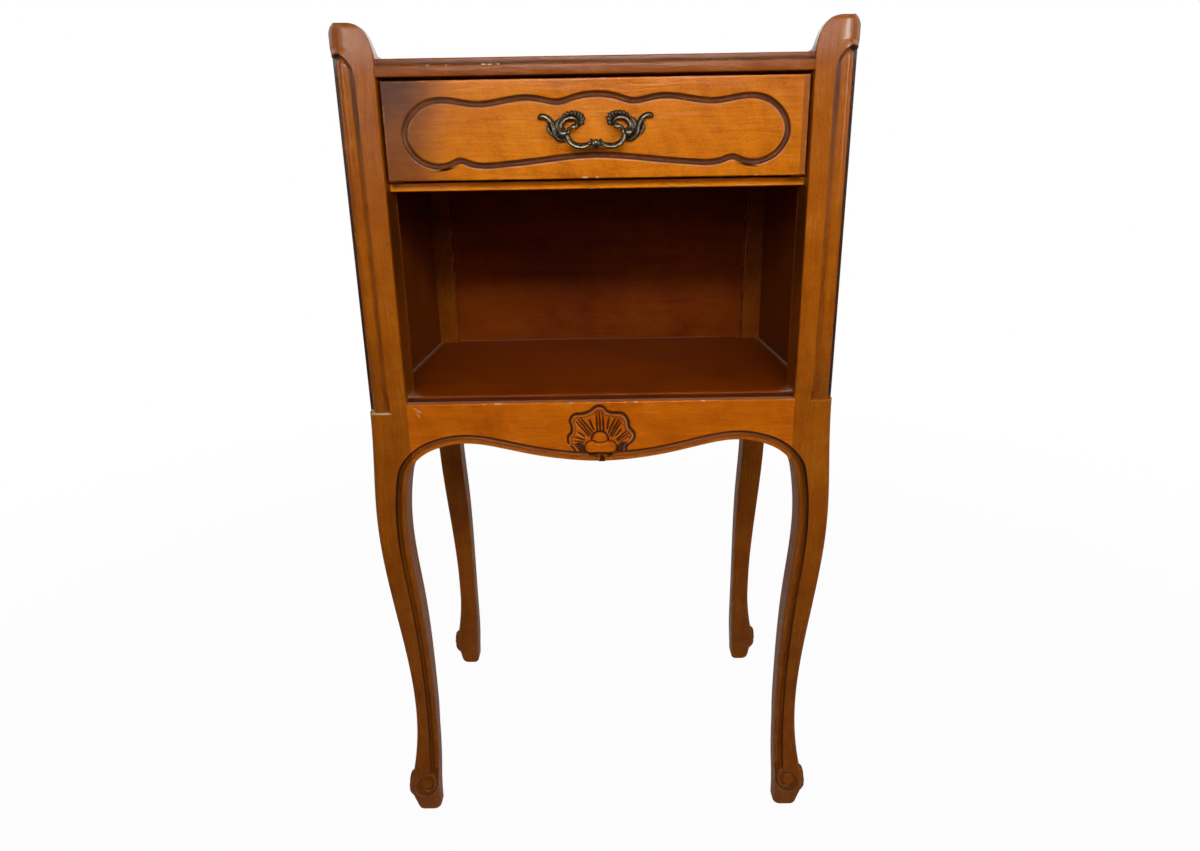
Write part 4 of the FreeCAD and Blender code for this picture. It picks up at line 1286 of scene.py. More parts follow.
    def far_faces(self, z: Array, sides: FourArrays, corner: tuple[Array, Array],
                  edge: Array) -> tuple[list[Array], list[Array]]:
        """Outer side, back and inner side of the stick, with rounded corners between them.

        Args:
            z: Heights.
            sides: The section from box.
            corner: Where the outer corner ends, as insets from the outer and from the front face.
            edge: Inset of the moulding's edge from the front face.

        Returns:
            Runs of insets from the outer face, and the same runs' insets from the front face.
        """
        _, inner, _, rear = sides
        start, shoulder = corner
        soft = self.arris + (self.ankle_round - self.arris) * (1.0 - eased(*self.ankle_band, z))
        soft = np.minimum(soft, 0.42 * np.minimum(inner - start, rear - shoulder))
        angle = even_shares(self.bend_columns, math.pi / 2)
        bend, far = soft[:, None], (rear - soft)[:, None]
        sine, cosine = np.sin(angle)[None, :], np.cos(angle)[None, :]
        a = [level(start, self.flank_columns), start[:, None] + bend * (1.0 - cosine),
             between(start + soft, inner - soft, even_shares(self.bend_columns)),
             (inner - soft)[:, None] + bend * sine, level(inner, self.inner_columns)]
        b = [between(shoulder, rear - soft, even_shares(self.flank_columns)), far + bend * sine,
             level(rear, self.bend_columns), far + bend * cosine,
             between(rear - soft, edge + 0.45, even_shares(self.inner_columns))]
        return a, b

    def falls(self) -> Array:
        """How far each column dips below its row where the hollow's top is arched.

        Returns:
            One fall for each column.
        """
        arch = np.zeros(self.front_columns + self.round_columns)
        if self.grooved:
            arch = np.interp(np.linspace(0.0, 1.0, len(arch)), *zip(*self.arch_drop))
        flat = arch[0] * even_shares(self.flat_columns) ** 2
        flank = arch[-1] * np.linspace(1.0, 0.0, self.flank_columns) ** 2
        rest = np.zeros(3 * self.bend_columns + self.inner_columns)
        side = np.full(self.side_columns, arch[-1])
        return np.concatenate([np.zeros(len(self.edge.stations)), flat, arch, side, flank, rest])

    def carve_foot(self, a: Array, b: Array, heights: Array) -> FourArrays:
        """Carves the scroll on the front of the foot and the boss on its outer side.

        Args:
            a: Insets from the outer face.
            b: Insets from the front face.
            heights: Heights of the points.

        Returns:
            The new insets, the depth of the carving, and how near the raised line is.
        """
        fronts, flanks = np.zeros(a.shape[1]), np.zeros(a.shape[1])
        fronts[1:self.face + self.front_columns] = 1.0 if self.grooved else 0.0
        flanks[self.wrap - self.side_columns:self.flank - 1] = 1.0
        front, front_line = self.scroll(a, heights)
        side, side_line = self.scroll(b, heights)
        disc_b, disc_z, radius, lift = self.disc
        rise = (heights - disc_z) * np.where(heights < disc_z, 0.6, 1.0)
        side = side * 0.3 - lift * eased(0.0, 4.5, radius - np.hypot(b - disc_b, rise))
        front, side = front * fronts, side * flanks
        return a + side, b + front, front + side, front_line * fronts + side_line * flanks

    def glazed(self, z: Array, mould: Array, corner: Array, carved: Array) -> Array:
        """Dark glaze and painted shade on the whole stick.

        Args:
            z: Heights.
            mould: Glaze in the moulding.
            corner: Glaze in the hollow.
            carved: Depth of the foot's carving.

        Returns:
            Values from 0 to 1.
        """
        glaze = np.zeros_like(carved)
        glaze[:, :mould.shape[1]] = mould
        glaze[:, self.face:self.wrap] = corner
        glaze = np.maximum(glaze, eased(0.8, 2.0, carved) * 0.34)
        if not self.grooved:
            # Painted shade on the back posts' faces from the niche floor up
            glaze[:, self.flank:] = 0.32 * eased(*self.shelf_line, z)[:, None]
            return glaze
        joint = eased(self.edge.join - 1.0, self.edge.join + 1.0, z)
        joint = joint * (1.0 - eased(*self.apron_top, z))
        glaze[:, :2] = np.maximum(glaze[:, :2], joint[:, None] * 0.8)
        # Painted shade on the front posts' inner faces inside the niche, darker towards the top
        niche = eased(*self.niche_foot, z) * (1.0 - eased(*self.niche_top, z))
        glaze[:, -self.inner_columns:-1] = (niche * (0.46 + 0.20 * eased(*self.niche_shade, z)))[:, None]
        return glaze

    def worn(self, z: Array, a: Array, b: Array, heights: Array, rubs: Array,
             ledge: Array) -> Array:
        """Wear on the edges, the feet and the ears, and a painted highlight on the right ear.

        Args:
            z: Heights of the rows.
            a: Insets from the outer face.
            b: Insets from the front face.
            heights: Heights of the points.
            rubs: Speckle that breaks up the wear.
            ledge: Wear on the ledge below the hollow.

        Returns:
            Values from 0 to 1.
        """
        round_part = slice(self.face, self.wrap)
        bare = np.zeros_like(a)
        bare[:, round_part] = ledge
        for column in (0, 1, self.wrap - self.side_columns - 1, -1, self.face + self.front_columns):
            bare[:, column] = np.maximum(bare[:, column], eased(0.5, 0.9, rubs[:, column]) * 0.7)
        if not self.grooved:
            bare *= (1.0 - eased(*self.back_wear, z))[:, None]
        bare = np.maximum(bare, (1.0 - eased(*self.foot_wear, heights)) * (0.1 + 0.6 * rubs))
        if self.grooved and self.side is Side.LEFT:
            for columns, width in ((slice(-2, None), 2.2), (slice(0, 3), 1.8)):
                chip = np.exp(-((z - self.dent) / width) ** 2)[:, None]
                bare[:, columns] = np.maximum(bare[:, columns], chip)
        bare = np.maximum(bare, eased(*self.crown_wear, heights) * eased(0.35, 0.8, rubs) * 0.5)
        if not self.grooved:
            return np.maximum(bare, 0.58 * (1.0 - eased(*self.back_foot_wear, heights + 14.0 * (rubs - 0.5))))
        bare[:, round_part] *= np.where(ledge > 0.3, eased(0.12, 0.4, rubs[:, round_part]), 1.0)
        # Painted highlight: a pale patch down the rounded front of the right ear
        if self.side is Side.RIGHT:
            ear_highlight = np.exp(-((a - self.handled_place) / self.handled_width) ** 2)
            ear_highlight = ear_highlight * eased(*self.handled_band, heights) * (b < self.handled_depth)
            bare = np.maximum(bare, ear_highlight * (0.24 + 0.50 * rubs))
        return bare

    def build(self) -> None:
        """Builds the stick and puts it in place of its CAD node."""
        z = self.rows()
        sides = self.box(z)
        mould_a, mould_b, mould_glaze_and_shade = self.moulding(z, sides)
        quirk, shoulder = self.corner_edges(z, sides, mould_a[:, -1])
        flat_a = between(mould_a[:, -1], quirk, even_shares(self.flat_columns + 1)[:-1])
        flat_b = level(sides[2], self.flat_columns)
        round_a, round_b, hollow_glaze_and_shade, ledge = self.finger(z, *self.corner_points(z, sides, quirk, shoulder))
        far_a, far_b = self.far_faces(z, sides, (round_a[:, -1], round_b[:, -1]), mould_b[:, 0])
        a = np.concatenate([mould_a, flat_a, round_a, *far_a], 1)
        b = np.concatenate([mould_b, flat_b, round_b, *far_b], 1)
        arched = eased(*self.arch_start, z) * (1.0 - eased(*self.arch_end, z))
        heights = level(z, a.shape[1]) - self.falls() * arched[:, None]
        a, b, carved, raised = self.carve_foot(a, b, heights)
        y = b if self.row is Row.FRONT else self.back_face - b
        points = np.stack([self.side.value * (self.half_width - a), y, heights], -1)
        rubs = speckle(points, 9.0, 5) * 0.6 + speckle(points, 2.6, 6) * 0.4
        # Painted sheen on the upper posts and ears, weaker on the back posts; paler along the scroll's raised
        # line
        bloom = 0.12 * eased(*self.bloom_band, heights) * (1.0 if self.grooved else 0.3)
        bloom = np.maximum(bloom, raised * (0.04 + 0.5 * rubs))
        node = f"{self.row.value}_leg_{self.side.word}"
        piece = Piece(f"{node}_stick")
        glaze = self.glazed(z, mould_glaze_and_shade, hollow_glaze_and_shade, carved)
        bare = self.worn(z, a, b, heights, rubs, ledge)
        piece.add_grid(points, round_trip=True, caps=True, glaze=glaze, bare=bare, dust=bloom)
        stand_for(piece.build(self.wood), "carcass", "stained_wood", node)


@dataclass
class ShellApron:
    """Shaped apron with a moulded lower edge and a carved shell in the middle."""

    edge: LowerEdge
    wood: Material
    face: float = 0.4
    back: float = 18.4
    top: float = 437.3
    crease: float = math.radians(50.0)
    lip_front: float = 9.0
    shell_reach: float = 34.0
    groove: float = 1.9
    groove_depth: float = 1.9
    rim: float = 3.4
    rim_rise: float = 2.9
    bowl_depth: float = 0.5
    bowl_fall: float = 0.9
    bowl_run: float = 9.0
    flute_half: float = 1.2
    flute_taper: float = 0.4
    flute_depth: float = 1.5
    dome_foot: float = 1.9
    dome_rise: float = 1.5
    ring_depth: float = 2.5
    ring_width: float = 1.7
    ring_drop: float = 2.5
    waist_half: float = 4.5
    waist_height: float = 395.6
    pocket_place: float = 16.6
    pocket_half: Point2 = (8.2, 4.6)
    pocket_lean: Point2 = (0.78, 0.62)
    pocket_depth: float = 2.9
    rib_turn: float = 2.6
    split_depth: float = 3.01
    dome: Point3 = (-1.0, 403.2, 6.4)
    beans: tuple[Point3, ...] = ((-7.8, 396.1, 5.9), (7.2, 395.9, 5.9))
    outline: tuple[Point2, ...] = (
        (-1.0, 433.7), (3.2, 431.8), (5.2, 429.1), (8.7, 427.7), (12.8, 427.1), (16.8, 427.1), (20.4, 425.2),
        (22.9, 421.9), (23.9, 417.7), (24.4, 414.5), (26.4, 411.8), (28.7, 409.0), (29.0, 405.8),
        (27.4, 402.1), (24.8, 399.4), (22.5, 397.0), (20.9, 391.5), (12.0, 387.6), (0.5, 386.0),
        (-12.0, 387.6), (-21.6, 391.5), (-24.5, 396.4), (-27.3, 398.6), (-28.5, 401.5), (-28.7, 404.1),
        (-28.1, 407.3), (-25.7, 409.9), (-25.1, 413.7), (-25.5, 416.9), (-26.5, 420.1), (-25.6, 423.3),
        (-23.3, 425.9), (-19.7, 426.9), (-15.1, 427.1), (-11.5, 428.1), (-8.5, 429.6), (-5.4, 432.2))
    flutes: tuple[Four, ...] = (
        (-3.9, 427.7, -3.0, 411.2), (-1.4, 428.2, -0.4, 410.6), (1.6, 427.9, 2.4, 410.5),
        (6.9, 422.2, 5.5, 412.6), (-9.7, 420.9, -6.3, 412.3), (12.7, 422.4, 6.5, 408.9),
        (15.8, 421.0, 8.0, 406.7), (17.0, 418.1, 9.5, 405.6), (-17.2, 422.6, -7.1, 409.6),
        (-19.3, 421.8, -8.9, 407.5), (-21.1, 419.5, -10.5, 406.5), (17.2, 411.4, 12.6, 406.1),
        (21.3, 409.7, 13.6, 402.8), (23.1, 408.1, 14.6, 401.7), (23.8, 405.4, 16.1, 400.6),
        (-19.6, 409.8, -14.6, 406.0), (-22.8, 405.6, -14.1, 403.0), (-22.9, 401.8, -15.2, 400.6))
    hooks: tuple[Four, ...] = ((-9.6, 389.6, -3.2, 391.4), (4.2, 391.2, 9.0, 389.4))
    scratches: tuple[Four, ...] = ((-160.0, 434.6, -153.8, 430.5), (-157.4, 430.4, -155.0, 426.4))
    chip: Point2 = (-27.3, 398.6)
    rim_glaze: tuple[Point2, ...] = ((0.0, 0.95), (0.6, 0.90), (1.1, 0.50), (1.6, 0.20), (2.3, 0.20),
                                     (2.8, 0.42), (3.4, 0.78), (3.9, 0.1))

    def shell(self, spots: Array, reach: Array, inside: Array, cut: Array) -> Array:
        """Carves the shell into the apron's face.

        Args:
            spots: Places across and up.
            reach: Their distance from the shell's outline.
            inside: True for those inside the outline.
            cut: Depth of the moulding there.

        Returns:
            Depth of the carving, less than 0 where it stands proud.
        """
        x, z = spots[:, 0], spots[:, 1]
        groove = self.groove_depth * np.clip(1.0 - reach / self.groove, 0.0, 1.0) ** 0.8
        turn = np.clip(reach / self.rim, 0.0, 1.0) * math.pi * 0.80
        bead = np.minimum(self.groove_depth - self.rim_rise * np.sin(turn) ** 0.75, self.groove_depth)
        bowl = self.bowl_depth + self.bowl_fall * eased(self.rim, self.rim + self.bowl_run, reach)
        depth = np.where(inside, np.where(reach < self.rim, bead, bowl), groove)
        for x0, z0, x1, z1 in self.flutes:
            start, run = np.array([x0, z0]), np.array([x1 - x0, z1 - z0])
            share = np.clip((spots - start) @ run / (run @ run), 0.0, 1.0)
            off = np.linalg.norm(spots - start - share[:, None] * run, axis=1)
            width = self.flute_half - self.flute_taper * share
            depth += self.flute_depth * np.clip(1.0 - (off / width) ** 2, 0.0, 1.0)
        dome_x, dome_z, dome_r = self.dome
        from_dome = np.hypot(x - dome_x, z - dome_z)
        swell = np.sqrt(np.clip(1.0 - (from_dome / dome_r) ** 2, 0.0, 1.0))
        ring = np.where(from_dome < dome_r, self.dome_foot - self.dome_rise * swell, self.ring_depth)
        around = (from_dome < dome_r + self.ring_width) & (z > dome_z - self.ring_drop)
        depth = np.where(around, ring, depth)
        lobes = [r - np.hypot(x - bx, z - bz) for bx, bz, r in self.beans]
        first, gap = self.beans[0][0], self.beans[1][0] - self.beans[0][0]
        span = np.clip((x - first) / gap, 0.0, 1.0)
        waist = self.waist_half - np.hypot(x - first - span * gap, z - self.waist_height)
        bean = np.maximum(np.maximum(*lobes), waist)
        in_band = z < self.edge.height_at(self.edge.width, x)
        depth = np.where(in_band, cut, depth)
        over, rise = np.abs(x) - self.pocket_place, z - self.waist_height
        lean_run, lean_rise = self.pocket_lean
        along, aside = over * lean_run + rise * lean_rise, rise * lean_run - over * lean_rise
        pocket = np.hypot(along / self.pocket_half[0], aside / self.pocket_half[1])
        ribs = 0.86 + 0.14 * np.cos(aside * self.rib_turn)
        hollow = self.pocket_depth * eased(1.05, 0.6, pocket) * ribs
        depth = np.maximum(depth, np.where(bean < 0.0, hollow, 0.0))
        for x0, z0, x1, z1 in self.hooks:
            share = np.clip((x - x0) / (x1 - x0), 0.0, 1.0)
            bow = z0 + (z1 - z0) * share - 1.3 * np.sin(share * math.pi)
            depth += 2.4 * np.clip(1.0 - np.hypot(x - x0 - (x1 - x0) * share, z - bow) / 1.5, 0.0, 1.0)
        stem = eased(4.4, 3.4, np.abs(x - 0.5))
        stem = stem * eased(394.0, 391.0, z) * eased(386.6, 388.2, z)
        depth = depth * (1.0 - stem) + 0.3 * stem
        cushion = 0.9 - 1.3 * eased(0.0, 1.6, bean)
        beside = np.maximum(depth, 2.6 * (z > 391.0))
        depth = np.where(bean > -0.9, np.where(bean > 0.0, cushion, beside), depth)
        split = 2.9 * (390.2 - z) / 6.9
        return np.where((z < 390.2) & (np.abs(x - 0.8) < split), self.split_depth, depth)

    def sheet(self) -> tuple[Array, Array, Array]:
        """Grid of points on the apron's face, fine round the shell.

        Returns:
            Places across, the heights over each of them, and the distances from the lower edge.
        """
        fine = np.arange(-self.shell_reach, self.shell_reach + 0.1, 0.34)
        wide = np.linspace(self.shell_reach + 0.8, self.edge.half_opening, 90)
        x = np.concatenate([-wide[::-1], fine, wide])
        stations = np.array(self.edge.stations)
        low = np.stack([self.edge.height_at(step, x) for step in stations], 1)
        upper = between(low[:, -1], np.full_like(x, self.top - 1.0), even_shares(131))
        moulded = np.repeat(stations[None], len(x), 0)
        distance = np.concatenate([moulded, np.full_like(upper, BEYOND_MOULDING)], 1)
        return x, np.concatenate([low, upper], 1), distance

    def glazed(self, z: Array, distance: Array, depth: Array, near: Array, ring: Array) -> Array:
        """Dark glaze and painted shade in the moulding and in the shell.

        Args:
            z: Heights.
            distance: Distances from the lower edge.
            depth: Depth of the carving.
            near: True round the shell.
            ring: Glaze along the shell's rim.

        Returns:
            Values from 0 to 1.
        """
        plain, width = distance == BEYOND_MOULDING, self.edge.width
        brow = len(self.edge.stations) - 1
        above = eased(width - 0.2, width + 1.2, width + (z - z[:, brow:brow + 1]))
        glaze = np.where(plain, 0.75 * (1.0 - above), self.edge.glaze(distance))
        carved = eased(1.3, 2.4, depth) * 0.8 + eased(0.1, 1.2, depth) * 0.1
        shaded = np.maximum(np.maximum(np.where(depth > 0.05, carved, 0.0), glaze), ring)
        return np.where(near & (plain | (depth > 3.0)), shaded, glaze)

    def marks(self, points: Array, glaze: Array, crest: Array) -> dict[str, Array]:
        """Glaze with painted shade, wear, dust on the ledge, and painted highlights on the shell's rim.

        Args:
            points: Its points.
            glaze: Glaze and painted shade on the columns of the face, which come first.
            crest: How near the crest of the shell's rim is, on the same columns, where painted highlights go.

        Returns:
            The marks by name.
        """
        count = glaze.shape[1]
        across, z = points[:, :count, 0], points[:, :count, 2]
        marks = {name: np.zeros(points.shape[:2]) for name in Piece.MARKS}
        marks["glaze"][:, :count] = glaze
        wear = speckle(points, 7.0, 11) * 0.6 + speckle(points, 2.0, 12) * 0.4
        top_edge = slice(count - 1, count + 2)
        marks["bare"][:, top_edge] = eased(0.42, 0.8, wear[:, top_edge]) * 0.75
        marks["bare"][:, :2] = eased(0.5, 0.85, wear[:, :2]) * 0.5
        corner = eased(138.0, 163.0, np.abs(points[:, 0, 0]))[:, None]
        marks["dust"][:, count + 2:count + 5] = 0.5 + 0.5 * corner
        # Painted highlights flecked along the crest of the shell's rim
        marks["dust"][:, :count] = crest * (0.06 + 0.74 * eased(0.42, 0.75, wear[:, :count]))
        worn = np.exp(-((across - self.chip[0]) ** 2 + (z - self.chip[1]) ** 2) / 1.6)
        for x0, z0, x1, z1 in self.scratches:
            run_x, run_z = x1 - x0, z1 - z0
            share = ((across - x0) * run_x + (z - z0) * run_z) / (run_x ** 2 + run_z ** 2)
            share = np.clip(share, 0.0, 1.0)
            off = np.hypot(across - x0 - run_x * share, z - z0 - run_z * share)
            worn = np.maximum(worn, eased(1.5, 0.5, off) * (0.62 + 0.3 * wear[:, :count]))
        marks["bare"][:, :count] = np.maximum(marks["bare"][:, :count], worn)
        return marks

    def build(self) -> None:
        """Builds the apron and puts it in place of its CAD node."""
        x, z, distance = self.sheet()
        across = level(x, z.shape[1])
        near = np.abs(across) < self.shell_reach
        spots = np.stack([across[near], z[near]], -1)
        loop = fair_path(self.outline, 220, closed=True)
        rim = edge_distance(spots, np.concatenate([loop, loop[:1]]))
        inside = inside_loop(spots, loop)
        depth = self.edge.depth(distance)
        depth[near] = self.shell(spots, rim, inside, depth[near])
        gap = near & (depth == self.split_depth)
        smooth = depth.copy()
        smooth[1:-1] = (depth[:-2] + 2.0 * depth[1:-1] + depth[2:]) / 4.0
        depth = np.where(near, smooth, depth)
        ring, crest = np.zeros_like(depth), np.zeros_like(depth)
        rim_glaze = np.interp(rim, *zip(*self.rim_glaze)) * (inside | (rim < 0.9))
        ring[near] = rim_glaze * eased(390.0, 393.0, spots[:, 1])
        crest[near] = np.exp(-((rim - 1.9) / 0.5) ** 2) * inside * eased(392.0, 396.0, spots[:, 1])
        # Painted shade: the split below the bean is painted fully dark
        glaze = np.where(gap, 1.0, self.glazed(z, distance, depth, near, ring))
        depth = np.where(gap & (z < 384.9), np.minimum(depth, 0.9), depth)
        backs = [self.face + step for step in (0.3, 1.0, 3.0, 6.5, self.lip_front)] + [self.back, self.back]
        tops = [np.full_like(x, self.top - 0.3)] + [np.full_like(x, self.top)] * 5 + [z[:, 0]]
        y = np.concatenate([self.face + depth, np.repeat([backs], len(x), 0)], 1)
        points = np.stack([level(x, y.shape[1]), y, np.concatenate([z, np.stack(tops, 1)], 1)], -1)
        piece = Piece("front_apron_carved")
        piece.add_grid(points, round_trip=True, caps=True, **self.marks(points, glaze, crest))
        stand_for(piece.build(self.wood, self.crease), "carcass", "stained_wood", "front_apron")


@dataclass
class DrawerFront:
    """Drawer front with a groove that draws a waisted panel on it."""

    wood: Material
    half: float = 163.1
    low: float = 618.3
    high: float = 690.7
    face: float = 3.0
    lap: float = 10.0
    back: float = 21.0
    side_thickness: float = 9.0
    side_top: float = 680.4
    panel_half: float = 147.8
    panel_height: float = 50.2
    panel_foot: float = 629.2
    groove_half: float = 2.3
    groove_depth: float = 1.7
    rim_out: float = 1.2
    lip_out: float = 0.45
    brow: float = 0.95
    brow_sink: float = 0.3
    across: tuple[float, ...] = (0.0, 0.115, 0.2, 0.265, 0.345, 0.62, 0.84, 0.955, 1.0, 0.955, 0.86, 0.765,
                                 0.72, 0.66, 0.54, 0.27, 0.0)
    heights: tuple[float, ...] = (1.0, 0.955, 0.895, 0.925, 0.96, 0.88, 0.935, 0.75, 0.44, 0.15, 0.0, 0.025,
                                  0.072, 0.025, 0.0, 0.07, 0.13)
    groove_stations: tuple[float, ...] = (1.0, 0.96, 0.85, 0.65, 0.4, 0.2, 0.0, -0.2, -0.4, -0.65, -0.85,
                                          -0.96, -1.0)
    groove_glaze: tuple[Point2, ...] = ((-1.0, 0.2), (-0.96, 0.80), (-0.5, 0.78), (0.4, 0.80), (0.96, 0.92),
                                        (1.0, 0.4))
    edge_steps: tuple[Point3, ...] = (
        (0.0, 1.3, 0.4), (0.12, 0.6, 0.8), (0.45, 0.16, 1.0), (1.2, 0.0, 0.5), (2.0, 0.0, 0.0),
        (4.5, 0.0, 0.0), (5.0, 0.0, 0.0))
    lit_lip: float = 1.6
    spine_half: float = 118.0
    spine_height: float = 654.0

    def panel(self, samples: int) -> Array:
        """Middle line of the groove.

        Args:
            samples: Number of points.

        Returns:
            Points across and up, clockwise from the top.
        """
        right = [(self.panel_half * a, self.panel_foot + self.panel_height * h)
                 for a, h in zip(self.across, self.heights)]
        left = [(-x, z) for x, z in right[-2:0:-1]]
        return fair_path(right + left, samples, closed=True)

    def border(self, line: Array) -> Array:
        """Outline of the front, with one point for each point of the groove's line.

        Args:
            line: Middle line of the groove.

        Returns:
            Points from -1 to 1 both ways.
        """
        unit = (line - line.mean(0)) / np.array([self.panel_half, self.panel_height / 2])
        corners = np.array([(1, 1), (1, -1), (-1, -1), (-1, 1)])
        turns = [int(np.argmax(unit @ corner)) for corner in corners]
        border = np.zeros_like(line)
        ends, afters = turns[1:] + turns[:1], np.roll(corners, -1, axis=0)
        for start, end, corner, after in zip(turns, ends, corners, afters):
            stretch = np.arange(start, end if end > start else end + len(line))
            share = np.arange(len(stretch))[:, None] / len(stretch)
            border[stretch % len(line)] = corner + (after - corner) * share
        return border

    def rings(self) -> FourArrays:
        """Rings of points from the outline over the groove to the middle of the panel.

        Returns:
            Places across and up, depths behind the face, dark glaze, and how near an edge is, above 1 on the
            lips that get a painted highlight.
        """
        line = self.panel(720)
        run = np.roll(line, -1, axis=0) - np.roll(line, 1, axis=0)
        run /= np.linalg.norm(run, axis=1)[:, None]
        out = np.stack([-run[:, 1], run[:, 0]], -1)
        middle = np.array([0.0, (self.low + self.high) / 2])
        reach = np.array([self.half, (self.high - self.low) / 2])
        border = self.border(line)
        # Lips of the groove that face up, marked above 1 for a painted highlight
        upper_lip = self.lit_lip * eased(-0.75, -0.2, out[:, 1])
        lower_lip = self.lit_lip * eased(0.35, 0.8, -out[:, 1])
        steps = ((0.0, self.lap - self.face, 0.0), *self.edge_steps)
        rows = [(middle + border * (reach - inset), depth, 0.0, edge) for inset, depth, edge in steps]
        rim = rows[-1][0]
        outer_ring = line + out * (self.groove_half + self.rim_out)
        inner_ring = line - out * (self.groove_half + self.rim_out)
        rows += [(rim + (outer_ring - rim) * share, 0.0, 0.0, 0.0) for share in (0.2, 0.4, 0.6, 0.8, 1.0)]
        rows.append((line + out * (self.groove_half + self.lip_out), 0.0, 0.0, lower_lip))
        for offset in self.groove_stations:
            sink = self.brow_sink if abs(offset) > self.brow else 0.0
            depth = self.groove_depth * (1.0 - abs(offset) ** 2.2) ** 0.8 + sink
            shade = float(np.interp(offset, *zip(*self.groove_glaze)))
            lip = upper_lip if offset < -self.brow else lower_lip if offset > self.brow else 0.0
            rows.append((line + out * offset * self.groove_half, depth, shade, lip))
        rows.append((line - out * (self.groove_half + self.lip_out), 0.0, 0.0, upper_lip))
        rows.append((inner_ring, 0.0, 0.0, 0.0))
        spine_x = np.clip(line[:, 0] * 0.86, -self.spine_half, self.spine_half)
        spine = np.stack([spine_x, np.full(len(line), self.spine_height)], -1)
        rows += [(inner_ring + (spine - inner_ring) * share, 0.0, 0.0, 0.0) for share in even_shares(4)]
        flat, depths, shades, edges = zip(*rows)
        edge = np.array([np.ones(len(line)) * part for part in edges])
        return np.array(flat), np.array(depths)[:, None], np.array(shades)[:, None], edge

    def marks(self, flat: Array, depths: Array, shades: Array, edge: Array, wear: Array) -> dict[str, Array]:
        """Glaze with painted shade, wear with painted highlights on the groove's lips, and painted sheen on
        the face.

        Args:
            flat: Places across and up.
            depths: Depth of each ring.
            shades: Glaze of each ring.
            edge: How near an edge is, above 1 on the groove's lips that face up, which get a painted
                highlight.
            wear: Speckle that breaks up the wear.

        Returns:
            The marks by name.
        """
        x, z = flat[..., 0], flat[..., 1]
        # Wear on the edges, and a pale painted highlight on the groove's lips that face up
        bare = np.minimum(edge, 1.0) * eased(0.45, 0.85, wear) * np.where(edge > 1.0, 0.66, 0.8)
        lowest = z < self.low + 1.6
        chipped = eased(9.5, 5.5, np.abs(x + 4.0))
        bare = np.maximum(bare, lowest * chipped * (edge > 0.3) * eased(0.25, 0.5, wear) * 0.95)
        # Darker towards the left end, most at its top, and towards the right end; the sharp band at the right
        # end is a painted shadow of the right post
        left = eased(-92.0, -152.0, x)
        glaze = np.maximum(shades * (0.8 + 0.3 * wear), np.where(depths > 4.0, 0.5, 0.0))
        for shade in (0.60 * left + 0.2 * left * eased(650.0, 688.0, z),
                      0.46 * eased(158.15, 158.55, x), 0.20 * eased(110.0, 158.0, x)):
            glaze = np.maximum(glaze, shade)
        # Painted sheen on the upper left of the face; painted highlights on the groove's lips that face up
        bloom = 0.08 * eased(-60.0, -150.0, x) * eased(626.0, 684.0, z)
        lit = np.clip(edge - 1.0, 0.0, 0.6) / 0.6 * (0.12 + 0.4 * wear)
        return {"glaze": np.clip(glaze, 0.0, 1.0), "bare": bare, "dust": np.maximum(bloom, lit)}

    def build(self) -> None:
        """Builds the drawer front and puts it in place of its CAD node."""
        flat, depths, shades, edge = self.rings()
        depth = depths * np.ones(flat.shape[1])
        points = np.stack([flat[..., 0], self.face + depth, flat[..., 1]], -1)
        wear = speckle(points, 8.0, 21) * 0.55 + speckle(points, 2.2, 22) * 0.45
        piece = Piece("drawer_front_grooved")
        first = piece.add_grid(points, round_trip=True, **self.marks(flat, depths, shades, edge, wear))
        piece.faces.append(tuple(range(first, first + flat.shape[1])))
        inset = self.half - self.side_thickness
        piece.add_block((-inset, self.lap, self.low), (inset, self.back, self.high))
        for side in Side:
            ends = sorted((side.value * inset, side.value * self.half))
            piece.add_block((ends[0], self.lap, self.side_top + 0.1), (ends[1], self.back, self.high))
        stand_for(piece.build(self.wood), "drawer", "stained_wood", "drawer_front")


